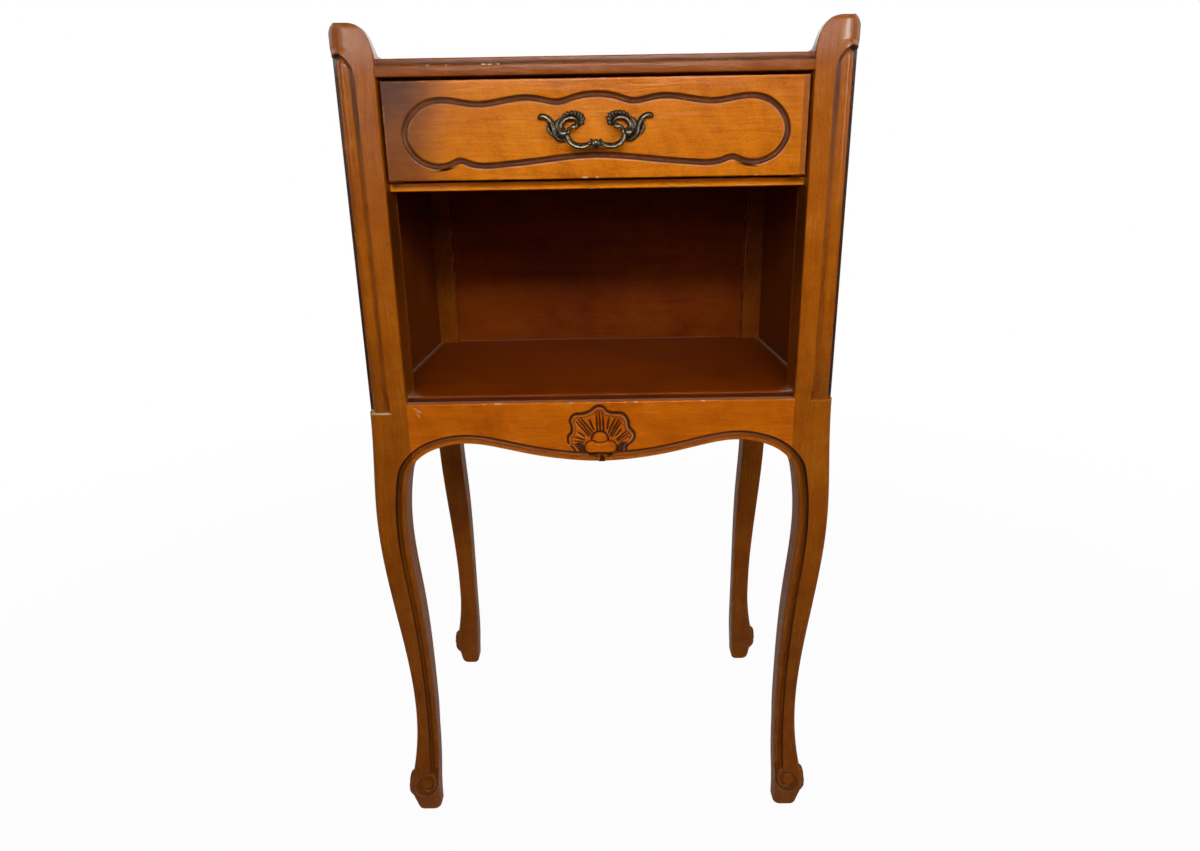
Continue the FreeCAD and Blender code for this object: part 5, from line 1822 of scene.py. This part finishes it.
@dataclass
class EdgeStrips:
    """The stepped front edge of the top and the thin rail under the drawer, both with worn edges."""

    top_wood: Material
    rail_wood: Material
    half_opening: float = 165.5
    lipping_front: float = 1.5
    lipping_back: float = 12.0
    lipping_foot: float = 693.2
    lipping_step: float = 701.7
    lipping_top: float = 706.4
    lipping_setback: float = 3.5
    rail_front: float = 15.0
    rail_back: float = 60.0
    rail_foot: float = 610.7
    rail_top: float = 617.0

    @staticmethod
    def arc(middle: Point2, radius: float, start: float, end: float, count: int = 6) -> list[Point2]:
        """Points of a round edge about its centre, by angles in degrees from straight back towards up."""
        turns = np.radians(np.linspace(start, end, count))
        return [(middle[0] + radius * math.cos(turn), middle[1] + radius * math.sin(turn)) for turn in turns]

    def sweep(self, name: str, section: list[Point2], worn: Callable[[Array, Array], Array],
              node: str, wood: Material, glaze: Optional[Sequence[float]] = None) -> None:
        """Runs a section across between the posts.

        Args:
            name: Name of the piece.
            section: Its section, back and up.
            worn: Gives the wear of points from their places and a speckle.
            node: CAD node that it stands for.
            wood: Its material.
            glaze: Dark glaze and painted shade on each point of the section.
        """
        half = min(self.half_opening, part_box(node)[1].x / MM)
        x = np.linspace(-half, half, 420)
        profile = np.array(section)
        points = np.stack([np.repeat(x[:, None], len(profile), 1), np.repeat(profile[None, :, 0], len(x), 0),
                           np.repeat(profile[None, :, 1], len(x), 0)], -1)
        rub = speckle(points, 11.0, 31) * 0.5 + speckle(points, 2.8, 32) * 0.5
        bare = worn(points, rub)
        points[..., 1] += np.where(bare > 0.62, 0.25, 0.0)
        piece = Piece(name)
        shade = np.zeros(points.shape[:2]) if glaze is None else np.repeat(np.asarray(glaze)[None], len(x), 0)
        # Faint painted sheen on the upper part of the top's edge; none on the rail below it
        piece.add_grid(points, round_trip=True, caps=True, bare=bare, glaze=shade,
                       dust=eased(690.0, 699.0, points[..., 2]) * 0.05)
        stand_for(piece.build(wood), "carcass", "stained_wood", node)

    def lipping(self) -> None:
        """Builds the stepped front edge of the top."""
        front, foot, step = self.lipping_front, self.lipping_foot, self.lipping_step
        nosing = self.arc((front + 1.1, foot + 1.1), 1.1, 270.0, 180.0)
        brow = self.arc((front + 2.0, step - 2.0), 2.0, 180.0, 90.0)
        inset = front + self.lipping_setback
        crown = self.arc((inset + 0.9, self.lipping_top - 0.9), 0.9, 180.0, 90.0)
        section = [(self.lipping_back, foot), *nosing, (front, (foot + step) / 2), *brow,
                   (inset - 0.4, step - 0.05), (inset, step + 0.3), *crown,
                   (self.lipping_back, self.lipping_top)]
        brow_z = step - 2.2

        def worn(points: Array, rub: Array) -> Array:
            """Wear along the nosing, heavier on the left.

            Args:
                points: Places of the points.
                rub: Speckle that breaks up the wear.

            Returns:
                Values from 0 to 1.
            """
            band = eased(brow_z, brow_z + 0.8, points[..., 2]) * (points[..., 1] < front + 1.7)
            left = 0.55 + 0.4 * eased(20.0, -120.0, points[..., 0])
            crest = (points[..., 2] > self.lipping_top - 0.8) * (points[..., 1] < inset + 0.8) * 0.5
            return np.maximum(band * left, crest) * eased(0.46, 0.80, rub)

        # Painted shade under the nosing and in the inside corner of the step
        glaze = [0.0] * len(section)
        corner = 1 + len(nosing) + 1 + len(brow)
        glaze[0] = glaze[1] = 0.6
        glaze[corner] = glaze[corner + 1] = 0.85
        self.sweep("top_edge_stepped", section, worn, "top_lipping", self.top_wood, glaze)

    def rail(self) -> None:
        """Builds the thin rail under the drawer."""
        front, foot, top = self.rail_front, self.rail_foot, self.rail_top
        lower = self.arc((front + 0.8, foot + 0.8), 0.8, 270.0, 180.0)
        upper = self.arc((front + 0.8, top - 0.8), 0.8, 180.0, 90.0)
        shelf = front + 20.0
        section = [(self.rail_back, foot), (shelf, foot), *lower, *upper, (shelf, top), (self.rail_back, top)]

        def worn(points: Array, rub: Array) -> Array:
            """Chips on the lower edge near the middle and to the right of it.

            Args:
                points: Places of the points.
                rub: Speckle that breaks up the wear.

            Returns:
                Values from 0 to 1.
            """
            band = eased(foot + 1.0, foot + 0.3, points[..., 2]) * (points[..., 1] < front + 1.0)
            x = points[..., 0]
            worst = eased(9.0, 6.0, np.abs(x - 1.0)) + eased(25.0, 18.0, np.abs(x - 58.0))
            return band * np.maximum(np.clip(worst, 0.0, 1.0) * eased(0.38, 0.6, rub) * 0.9,
                                     eased(0.5, 0.85, rub) * 0.6)

        self.sweep("drawer_rail_worn", section, worn, "drawer_rail", self.rail_wood)


class SweptLeaf:
    """Node tree that sweeps a ridged round section along drawn lines of varying thickness."""

    def __init__(self, name: str) -> None:
        """Builds the tree with its named inputs.

        Args:
            name: Name of the tree.
        """
        self.tree = bpy.data.node_groups.new(name, "GeometryNodeTree")
        face = self.tree.interface
        face.new_socket("Lines", in_out="INPUT", socket_type="NodeSocketGeometry")
        kinds = {"Ridges": "Int", "Groove": "Float", "Flatness": "Float", "Finish": "Material"}
        self.inputs = {word: face.new_socket(word, in_out="INPUT", socket_type=f"NodeSocket{kind}")
                       for word, kind in kinds.items()}
        face.new_socket("Leaves", in_out="OUTPUT", socket_type="NodeSocketGeometry")
        nodes = {word: self.tree.nodes.new(kind) for word, kind in (
            ("given", "NodeGroupInput"), ("kind", "GeometryNodeCurveSplineType"),
            ("fine", "GeometryNodeSetSplineResolution"), ("star", "GeometryNodeCurveStar"),
            ("squeeze", "ShaderNodeCombineXYZ"), ("section", "GeometryNodeTransform"),
            ("thick", "GeometryNodeInputRadius"), ("sweep", "GeometryNodeCurveToMesh"),
            ("lift", "GeometryNodeTransform"), ("real", "GeometryNodeRealizeInstances"),
            ("coat", "GeometryNodeSetMaterial"), ("result", "NodeGroupOutput"))}
        nodes["kind"].spline_type = "CATMULL_ROM"
        for word, socket, setting in (
                ("fine", "Resolution", 7), ("star", "Outer Radius", 1.0), ("squeeze", "X", 1.0),
                ("squeeze", "Z", 1.0), ("sweep", "Fill Caps", True),
                ("lift", "Rotation", (math.pi / 2, 0.0, 0.0))):
            nodes[word].inputs[socket].default_value = setting
        for source, output, target, socket in (
                ("given", "Lines", "kind", "Curve"), ("kind", 0, "fine", 0),
                ("given", "Ridges", "star", "Points"), ("given", "Groove", "star", "Inner Radius"),
                ("given", "Flatness", "squeeze", "Y"),
                ("star", "Curve", "section", "Geometry"), ("squeeze", 0, "section", "Scale"),
                ("fine", 0, "sweep", "Curve"), ("section", 0, "sweep", "Profile Curve"),
                ("thick", 0, "sweep", "Scale"), ("sweep", 0, "lift", "Geometry"), ("lift", 0, "real", 0),
                ("real", 0, "coat", "Geometry"), ("given", "Finish", "coat", "Material"),
                ("coat", 0, "result", 0)):
            self.tree.links.new(nodes[source].outputs[output], nodes[target].inputs[socket])

    def make(self, name: str, lines: Sequence[Sequence[Four]], finish: Material, ridges: int,
             groove: float, flatness: float) -> Object:
        """Sweeps lines into one mesh.

        Args:
            name: Name of the piece.
            lines: Lines of points, each across, back, up and half thickness in millimetres.
            finish: Material.
            ridges: Ridges round the section.
            groove: Radius between the ridges, as a share of the radius on them.
            flatness: Thickness to the back, as a share of the width.

        Returns:
            The new object, a plain mesh at the origin.
        """
        drawn = bpy.data.curves.new(f"{name}_lines", "CURVE")
        drawn.dimensions = "3D"
        drawn.twist_mode = "Z_UP"
        for line in lines:
            spline = drawn.splines.new("POLY")
            spline.points.add(len(line) - 1)
            for spot, (x, y, z, thick) in zip(spline.points, line):
                spot.co = (x * MM, z * MM, -(y + FRONT_PLANE) * MM, 1.0)
                spot.radius = thick * MM
        holder = bpy.data.objects.new(f"{name}_drawing", drawn)
        bpy.context.scene.collection.objects.link(holder)
        modifier = holder.modifiers.new("leaves", "NODES")
        modifier.node_group = self.tree
        settings = {"Ridges": ridges, "Groove": groove, "Flatness": flatness, "Finish": finish}
        for key, setting in settings.items():
            modifier[self.inputs[key].identifier] = setting
        depsgraph = bpy.context.evaluated_depsgraph_get()
        mesh = bpy.data.meshes.new_from_object(holder.evaluated_get(depsgraph), depsgraph=depsgraph)
        holder.modifiers.remove(modifier)
        bpy.data.objects.remove(holder)
        bpy.data.curves.remove(drawn)
        mesh.name = name
        welded(mesh)
        return finished(name, mesh, finish, math.radians(75.0))


@dataclass
class BrassPull:
    """Cast pull: two leafy plates, and a bail with a leaf knot that swings from them."""

    plate_brass: Material
    bail_brass: Material
    pivot_y: float = -6.0
    pivot_z: float = 651.7
    fullness: float = 1.12
    tree: SweptLeaf = field(default_factory=lambda: SweptLeaf("swept_leaf"))

    def leaves(self) -> list[list[Four]]:
        """Lines of the right plate.

        Returns:
            Lines of points: across, back, up and half thickness.
        """
        tips = ((9.4, 659.6), (9.0, 662.2), (10.0, 664.6), (12.3, 666.2), (15.2, 666.8), (18.3, 666.9),
                (21.5, 666.3), (24.3, 664.9))
        roots = ((13.4, 658.0), (13.2, 659.6), (13.5, 660.8), (14.8, 662.0), (16.6, 662.7), (18.6, 663.0),
                 (20.8, 662.8), (22.8, 662.2))
        lines = []
        for (tx, tz), (rx, rz) in zip(tips, roots):
            lines.append([(rx, 0.9, rz, 1.0), ((tx + rx) / 2, 0.6, (tz + rz) / 2, 1.4),
                          (tx * 0.85 + rx * 0.15, 0.9, tz * 0.85 + rz * 0.15, 1.65), (tx, 1.5, tz, 1.15),
                          (tx * 1.05 - rx * 0.05, 2.2, tz * 1.05 - rz * 0.05, 0.4)])
        ring = [(12.2, 0.9, 656.6, 0.9), (13.2, 0.2, 658.9, 1.3), (14.6, -0.3, 661.3, 1.45),
                (18.2, -0.6, 662.6, 1.5), (22.6, -0.6, 661.9, 1.7), (25.9, -0.4, 659.2, 2.1),
                (27.4, -0.2, 655.6, 2.5), (27.2, 0.0, 651.8, 2.5), (25.6, 0.4, 648.9, 2.0),
                (23.2, 0.9, 647.4, 1.2)]
        curl = [(13.9, -2.2, 656.9, 0.9), (15.0, -2.6, 656.4, 2.1), (16.4, -2.8, 656.0, 1.7),
                (18.2, -3.2, 655.5, 1.35), (19.9, -4.0, 654.0, 1.5), (21.0, -4.9, 651.9, 1.6),
                (21.7, -5.0, 649.6, 1.3)]
        rise = [(17.4, 0.4, 656.4, 1.2), (16.2, -1.4, 656.2, 1.3), (15.4, -2.4, 656.2, 1.2)]
        tail = [(22.6, 1.2, 646.9, 0.8), (25.6, 0.6, 646.9, 1.7), (29.0, 0.1, 648.6, 2.2),
                (31.3, -0.3, 651.8, 2.2), (32.5, -0.6, 655.6, 1.9), (33.6, -0.7, 659.0, 1.8),
                (35.8, -0.8, 662.0, 1.7), (38.8, -0.9, 663.7, 1.55), (41.4, -0.7, 663.9, 1.5),
                (43.0, -0.1, 662.8, 1.25), (42.6, 0.7, 661.5, 0.7)]
        lobe = [(29.6, 1.0, 648.9, 0.9), (32.6, 0.6, 650.6, 1.4), (35.2, 0.4, 652.8, 1.5),
                (36.4, 0.4, 655.2, 1.4), (35.9, 0.8, 657.0, 0.9), (34.8, 1.4, 657.4, 0.5)]
        cheek = [(25.4, 1.4, 662.6, 0.8), (28.6, 0.9, 660.0, 1.6), (30.2, 0.7, 656.4, 1.9),
                 (30.2, 0.8, 652.6, 1.9), (28.8, 1.2, 649.6, 1.4)]
        frond = [(38.0, 0.8, 661.0, 0.7), (36.4, 0.6, 660.0, 1.1), (34.6, 0.8, 657.4, 1.1),
                 (33.2, 1.2, 654.0, 0.8)]
        lug = [(x, self.pivot_y, self.pivot_z, thick)
               for x, thick in ((22.4, 1.4), (22.9, 2.4), (25.0, 2.7), (27.1, 2.4), (27.6, 1.4))]
        neck = [(25.2, -4.0, 652.0, 2.3), (25.8, -1.5, 652.2, 2.6), (26.4, 1.4, 652.4, 2.7)]
        return lines + [ring, curl, rise, tail, lobe, cheek, frond, lug, neck]

    def plates(self) -> None:
        """Builds both plates in place of their CAD nodes."""
        for side in Side:
            lines = [[(side.value * x, y, z, thick * self.fullness) for x, y, z, thick in line]
                     for line in self.leaves()]
            plate = self.tree.make(f"pull_leaf_{side.word}", lines, self.plate_brass, 6, 0.70, 0.85)
            stand_for(plate, "drawer", "brass", f"pull_plate_{side.word}")

    def bail(self) -> None:
        """Builds the bail in place of its CAD node."""
        y, pivot = self.pivot_y, self.pivot_z
        halves = [
            [(21.9, y + 0.4, pivot - 1.2, 1.3), (21.6, y, 648.6, 1.8), (20.4, y, 645.9, 2.1),
             (18.2, y, 643.6, 2.2), (15.2, y, 642.1, 2.25), (11.8, y, 641.5, 2.2), (8.6, y, 641.8, 2.1),
             (6.2, y, 642.5, 1.9), (4.2, y, 643.1, 1.6)],
            [(21.0, y, pivot, 1.0), (21.7, y, pivot, 1.5), (22.2, y, pivot, 1.0)],
            [(5.2, y, 641.2, 1.2), (5.0, y - 0.3, 643.0, 2.2), (4.6, y, 644.6, 1.2)],
            [(2.6, y, 644.6, 1.0), (3.6, y - 0.9, 645.7, 1.35), (4.5, y - 0.6, 645.5, 0.8)],
            [(0.9, y - 0.4, 645.6, 0.8), (2.0, y - 1.0, 643.4, 1.2), (1.3, y - 0.8, 641.0, 1.0),
             (0.4, y - 0.2, 639.7, 0.4)]]
        lines = [[(side.value * x, back, z, thick) for x, back, z, thick in half]
                 for side in Side for half in halves]
        lines.append([(0.0, y - 0.2, 646.6, 0.7), (0.0, y - 1.2, 645.2, 1.4), (0.0, y - 1.5, 643.0, 1.7),
                      (0.0, y - 1.2, 640.8, 1.3), (0.0, y - 0.4, 639.2, 0.5)])
        bail = self.tree.make("pull_bail_cast", lines, self.bail_brass, 6, 0.74, 0.95)
        stand_for(bail, "bail", "brass", "pull_bail")


@dataclass
class Carcass:
    """Boards and blocks that keep their CAD shape, each with its finish."""

    across: Material
    side_walls: Material
    niche_back: Material
    niche_floor: Material

    def build(self) -> None:
        """Dresses the carried-over nodes."""
        dress(self.across, "top_board", "back_top_rail")
        dress(self.niche_floor, "shelf")
        dress(self.side_walls, "side_panel_left", "side_panel_right")
        dress(self.niche_back, "back_panel")
        plain_deep = PlainWood("pale_wood_deep", Grain.DEEP).material()
        plain_across = PlainWood("pale_wood_across", Grain.ACROSS, start=(0.3, 0.2, 0.1)).material()
        plywood = Plywood("thin_plywood").material()
        steel = DullSteel("dull_steel").material()
        dress(plain_deep, "drawer_side_left", "drawer_side_right", "drawer_guide_left", "drawer_guide_right",
              "top_cleat_left", "top_cleat_right", "shelf_cleat_left", "shelf_cleat_right")
        dress(plain_across, "drawer_back", "drawer_stops", "glue_blocks", "back_bottom_rail")
        dress(plywood, "drawer_bottom", "dust_panel")
        dress(steel, "drawer_bottom_screws", "top_cleat_screws", "shelf_cleat_screws", "pull_studs",
              "pull_washers", "pull_nuts")


@dataclass
class Studio:
    """Camera, pale floor, soft lamps and surroundings."""

    eye: Point3 = (0.0014, -0.7615, 0.6080)
    pitch: float = 0.300210
    yaw: float = -0.003288
    roll: float = -0.0168096
    lens: float = 22.633
    floor_half: float = 4.0
    floor_tiles: int = 8
    key_power: float = 1.33
    key_beam: float = 84.0
    ambient: float = 0.03

    def camera(self) -> None:
        """Sets the camera at the photograph's viewpoint."""
        ahead = Vector((math.sin(self.yaw) * math.cos(self.pitch), math.cos(self.yaw) * math.cos(self.pitch),
                        -math.sin(self.pitch)))
        level = Vector((math.cos(self.yaw), -math.sin(self.yaw), 0.0))
        up = level.cross(ahead)
        right = level * math.cos(self.roll) + up * math.sin(self.roll)
        above = up * math.cos(self.roll) - level * math.sin(self.roll)
        data = bpy.data.cameras.new("viewpoint")
        data.lens = self.lens
        data.sensor_width = 36.0
        data.sensor_fit = "HORIZONTAL"
        data.clip_start = 0.01
        thing = bpy.data.objects.new("viewpoint", data)
        turn = Matrix((right, above, -ahead)).transposed()
        thing.matrix_world = Matrix.Translation(self.eye) @ turn.to_4x4()
        bpy.context.scene.collection.objects.link(thing)
        bpy.context.scene.camera = thing

    def floor(self) -> None:
        """Lays the pale floor, which shows white to the camera and keeps the shadow."""
        material, graph = new_graph("pale_floor")
        path = graph.node("ShaderNodeLightPath").outputs
        where = graph.place()
        length = graph.value("ShaderNodeVectorMath", {"operation": "LENGTH"}, {0: where}, "Value")
        far = length.eased(0.5, 1.6)
        behind = graph.axes(where)[1].eased(-0.2, 0.5)
        mirrored = Value(graph, path["Is Glossy Ray"]).most(Value(graph, path["Is Transmission Ray"]))
        seen = Value(graph, path["Is Camera Ray"]).most(mirrored * behind * 0.08)
        grey = graph.cloud(where, 3.0, 2.0)
        tint = graph.mix(grey * 0.06, (0.86, 0.855, 0.85), (0.80, 0.795, 0.79))
        matt = graph.node("ShaderNodeBsdfDiffuse", None, {"Color": tint})
        sheen = graph.mix(Value(graph, path["Is Camera Ray"]), (1.0, 0.74, 0.44), WHITE)
        glow = graph.node("ShaderNodeEmission", None, {"Color": sheen, "Strength": 1.0})
        share = seen * (0.97 + far * 0.03)
        both = graph.node("ShaderNodeMixShader", None, {0: share, 1: matt.outputs[0], 2: glow.outputs[0]})
        graph.node("ShaderNodeOutputMaterial", None, {"Surface": both.outputs[0]})
        mesh = bpy.data.meshes.new("floor")
        tiles = self.floor_tiles
        steps = np.linspace(-self.floor_half, self.floor_half, tiles + 1)
        corners = [(x, y, 0.0) for y in steps for x in steps]
        firsts = [row * (tiles + 1) + column for row in range(tiles) for column in range(tiles)]
        faces = [(first, first + 1, first + tiles + 2, first + tiles + 1) for first in firsts]
        mesh.from_pydata(corners, [], faces)
        mesh.materials.append(material)
        thing = bpy.data.objects.new("floor", mesh)
        bpy.context.scene.collection.objects.link(thing)

    def lamp(self, name: str, spot: Sequence[float], target: Sequence[float], size: Point2, power: float,
             beam: float = 180.0) -> None:
        """Hangs a soft lamp.

        Args:
            name: Name of the lamp.
            spot: Where it hangs.
            target: Where it points.
            size: Width and height of its face.
            power: Power in watts.
            beam: Angle of its beam in degrees.
        """
        data = bpy.data.lights.new(name, "AREA")
        data.shape = "RECTANGLE"
        data.size, data.size_y = size
        data.energy = power
        data.color = WHITE
        data.spread = math.radians(beam)
        thing = bpy.data.objects.new(name, data)
        thing.location = spot
        thing.rotation_euler = (Vector(target) - Vector(spot)).to_track_quat("-Z", "Y").to_euler()
        bpy.context.scene.collection.objects.link(thing)

    def lamps(self) -> None:
        """Hangs the lamps: three in front, the main one above eye level, and weak ones round the object."""
        aim = (0.02, -0.14, 0.58)
        for name, spot, size, share in (("front_lamp", (0.03, -0.85, 0.94), (0.60, 0.10), 0.54),
                                        ("front_lamp_right", (0.80, -0.82, 0.84), (0.20, 0.30), 0.45),
                                        ("front_lamp_left", (-0.55, -0.85, 0.78), (0.28, 0.2), 0.16)):
            self.lamp(name, spot, aim, size, self.key_power * share, self.key_beam)
        self.lamp("over_lamp", (0.2, 0.25, 2.0), (0.0, 0.05, 0.5), (1.0, 0.8), 0.7)
        self.lamp("side_lamp_left", (-1.8, 0.35, 1.2), (-0.2, 0.05, 0.4), (0.9, 1.2), 3.0)
        self.lamp("side_lamp_right", (1.8, 0.35, 1.2), (0.2, 0.05, 0.4), (0.9, 1.2), 3.0)
        self.lamp("back_lamp", (0.2, 2.0, 1.2), (0.0, 0.1, 0.4), (1.2, 1.0), 5.0)
        self.lamp("white_card", (-0.85, -2.0, 1.05), (-0.1, 0.0, 0.6), (0.7, 0.8), 1.2)

    def surroundings(self) -> None:
        """White behind the object and to the camera, dimmer in front, with a low even light."""
        world = bpy.data.worlds.new("surroundings")
        bpy.context.scene.world = world
        world.use_nodes = True
        graph = Graph(world.node_tree)
        path = graph.node("ShaderNodeLightPath").outputs
        camera = Value(graph, path["Is Camera Ray"])
        shine = Value(graph, path["Is Glossy Ray"]).most(Value(graph, path["Is Transmission Ray"]))
        heading = graph.node("ShaderNodeTexCoord").outputs["Generated"]
        away = graph.axes(heading)[1]
        behind = away.eased(-0.10, 0.45)
        mirrored = graph.mix(behind, (0.03, 0.03, 0.03), (0.090, 0.064, 0.032))
        dim = (self.ambient,) * 3
        colour = graph.mix(shine, dim, mirrored)
        colour = graph.mix(camera, colour, WHITE)
        back = graph.node("ShaderNodeBackground", None, {"Color": colour, "Strength": 1.0})
        graph.node("ShaderNodeOutputWorld", None, {"Surface": back.outputs[0]})

    def build(self) -> None:
        """Sets up everything around the object."""
        bpy.context.scene.view_settings.view_transform = "Standard"
        self.camera()
        self.floor()
        self.lamps()
        self.surroundings()


def main() -> None:
    """Builds the cabinet's looks in order."""
    logging.basicConfig(level=logging.INFO, format="%(message)s")
    Studio().build()
    edge = LowerEdge()
    # Tones differ between parts of the same wood: each was set to how bright that part looks, so they hold
    # painted light and shade as well as the wood's own colour, lighter on the rail, apron and drawer and
    # darker on the niche's walls, back and floor
    posts = {side: StainedWood(f"amber_wood_post_{side.word}", Grain.UPRIGHT,
                               start=(0.0, 0.13 * side.value, 0.4), darkens=(0.42, 0.30),
                               varnish=(0.692, 0.714)).material() for side in Side}
    back_post = StainedWood("red_wood_post", Grain.UPRIGHT, (0.400, 0.094, 0.0015),
                            start=(0.6, 0.2, 0.1)).material()
    top = StainedWood("amber_wood_top", Grain.ACROSS, (0.380, 0.088, 0.0040),
                      start=(0.0, 0.3, 0.2)).material()
    rail = StainedWood("amber_wood_rail", Grain.ACROSS, (0.900, 0.240, 0.0050),
                       start=(0.3, 0.3, 0.6)).material()
    for row in Row:
        for side in Side:
            depth = 34.5 if row is Row.FRONT else 38.0
            stop = 430.0 if side is Side.LEFT else 436.0
            wood = posts[side] if row is Row.FRONT else back_post
            CornerLeg(side, row, edge, wood, finger_foot=stop, post_depth=depth).build()
    ShellApron(edge, StainedWood("amber_wood_apron", Grain.ACROSS, (0.780, 0.170, 0.0020),
                                  start=(0.7, 0.1, 0.5)).material()).build()
    DrawerFront(StainedWood("amber_wood_drawer", Grain.ACROSS, (0.790, 0.206, 0.0020), (0.055, 0.010, 0.0050),
                            start=(0.2, 0.6, 0.9), flame=0.55).material()).build()
    strips = EdgeStrips(top, rail)
    strips.lipping()
    strips.rail()
    pull = BrassPull(AgedBrass("aged_brass_plate", -0.1448, -0.1402).material(),
                     AgedBrass("aged_brass_bail", -0.1508, -0.1470).material())
    pull.plates()
    pull.bail()
    side_walls = StainedWood("amber_wood_side", Grain.UPRIGHT, (0.400, 0.086, 0.0020), start=(0.5, 0.2, 0.0),
                             gloss=0.45, shine=0.12, ripple=0.004, flame=0.1,
                             inside=(0.52, 0.50, 0.45)).material()
    niche_back = StainedWood("red_wood_back", Grain.ACROSS, (0.290, 0.050, 0.0010), start=(0.1, 0.9, 0.3),
                             gloss=0.40, shine=0.12, ripple=0.005, flame=0.15, streak=0.6).material()
    niche_floor = StainedWood("red_wood_floor", Grain.ACROSS, (0.310, 0.052, 0.0008), start=(0.4, 0.4, 0.8),
                              dust=(0.52, 0.45, 0.37), gloss=0.36, shine=0.12, ripple=0.003, flame=0.0,
                              streak=0.4, dust_lines=(0.1857, -0.1337, 0.1213, 0.4425)).material()
    Carcass(top, side_walls, niche_back, niche_floor).build()


if __name__ == "__main__":
    main()
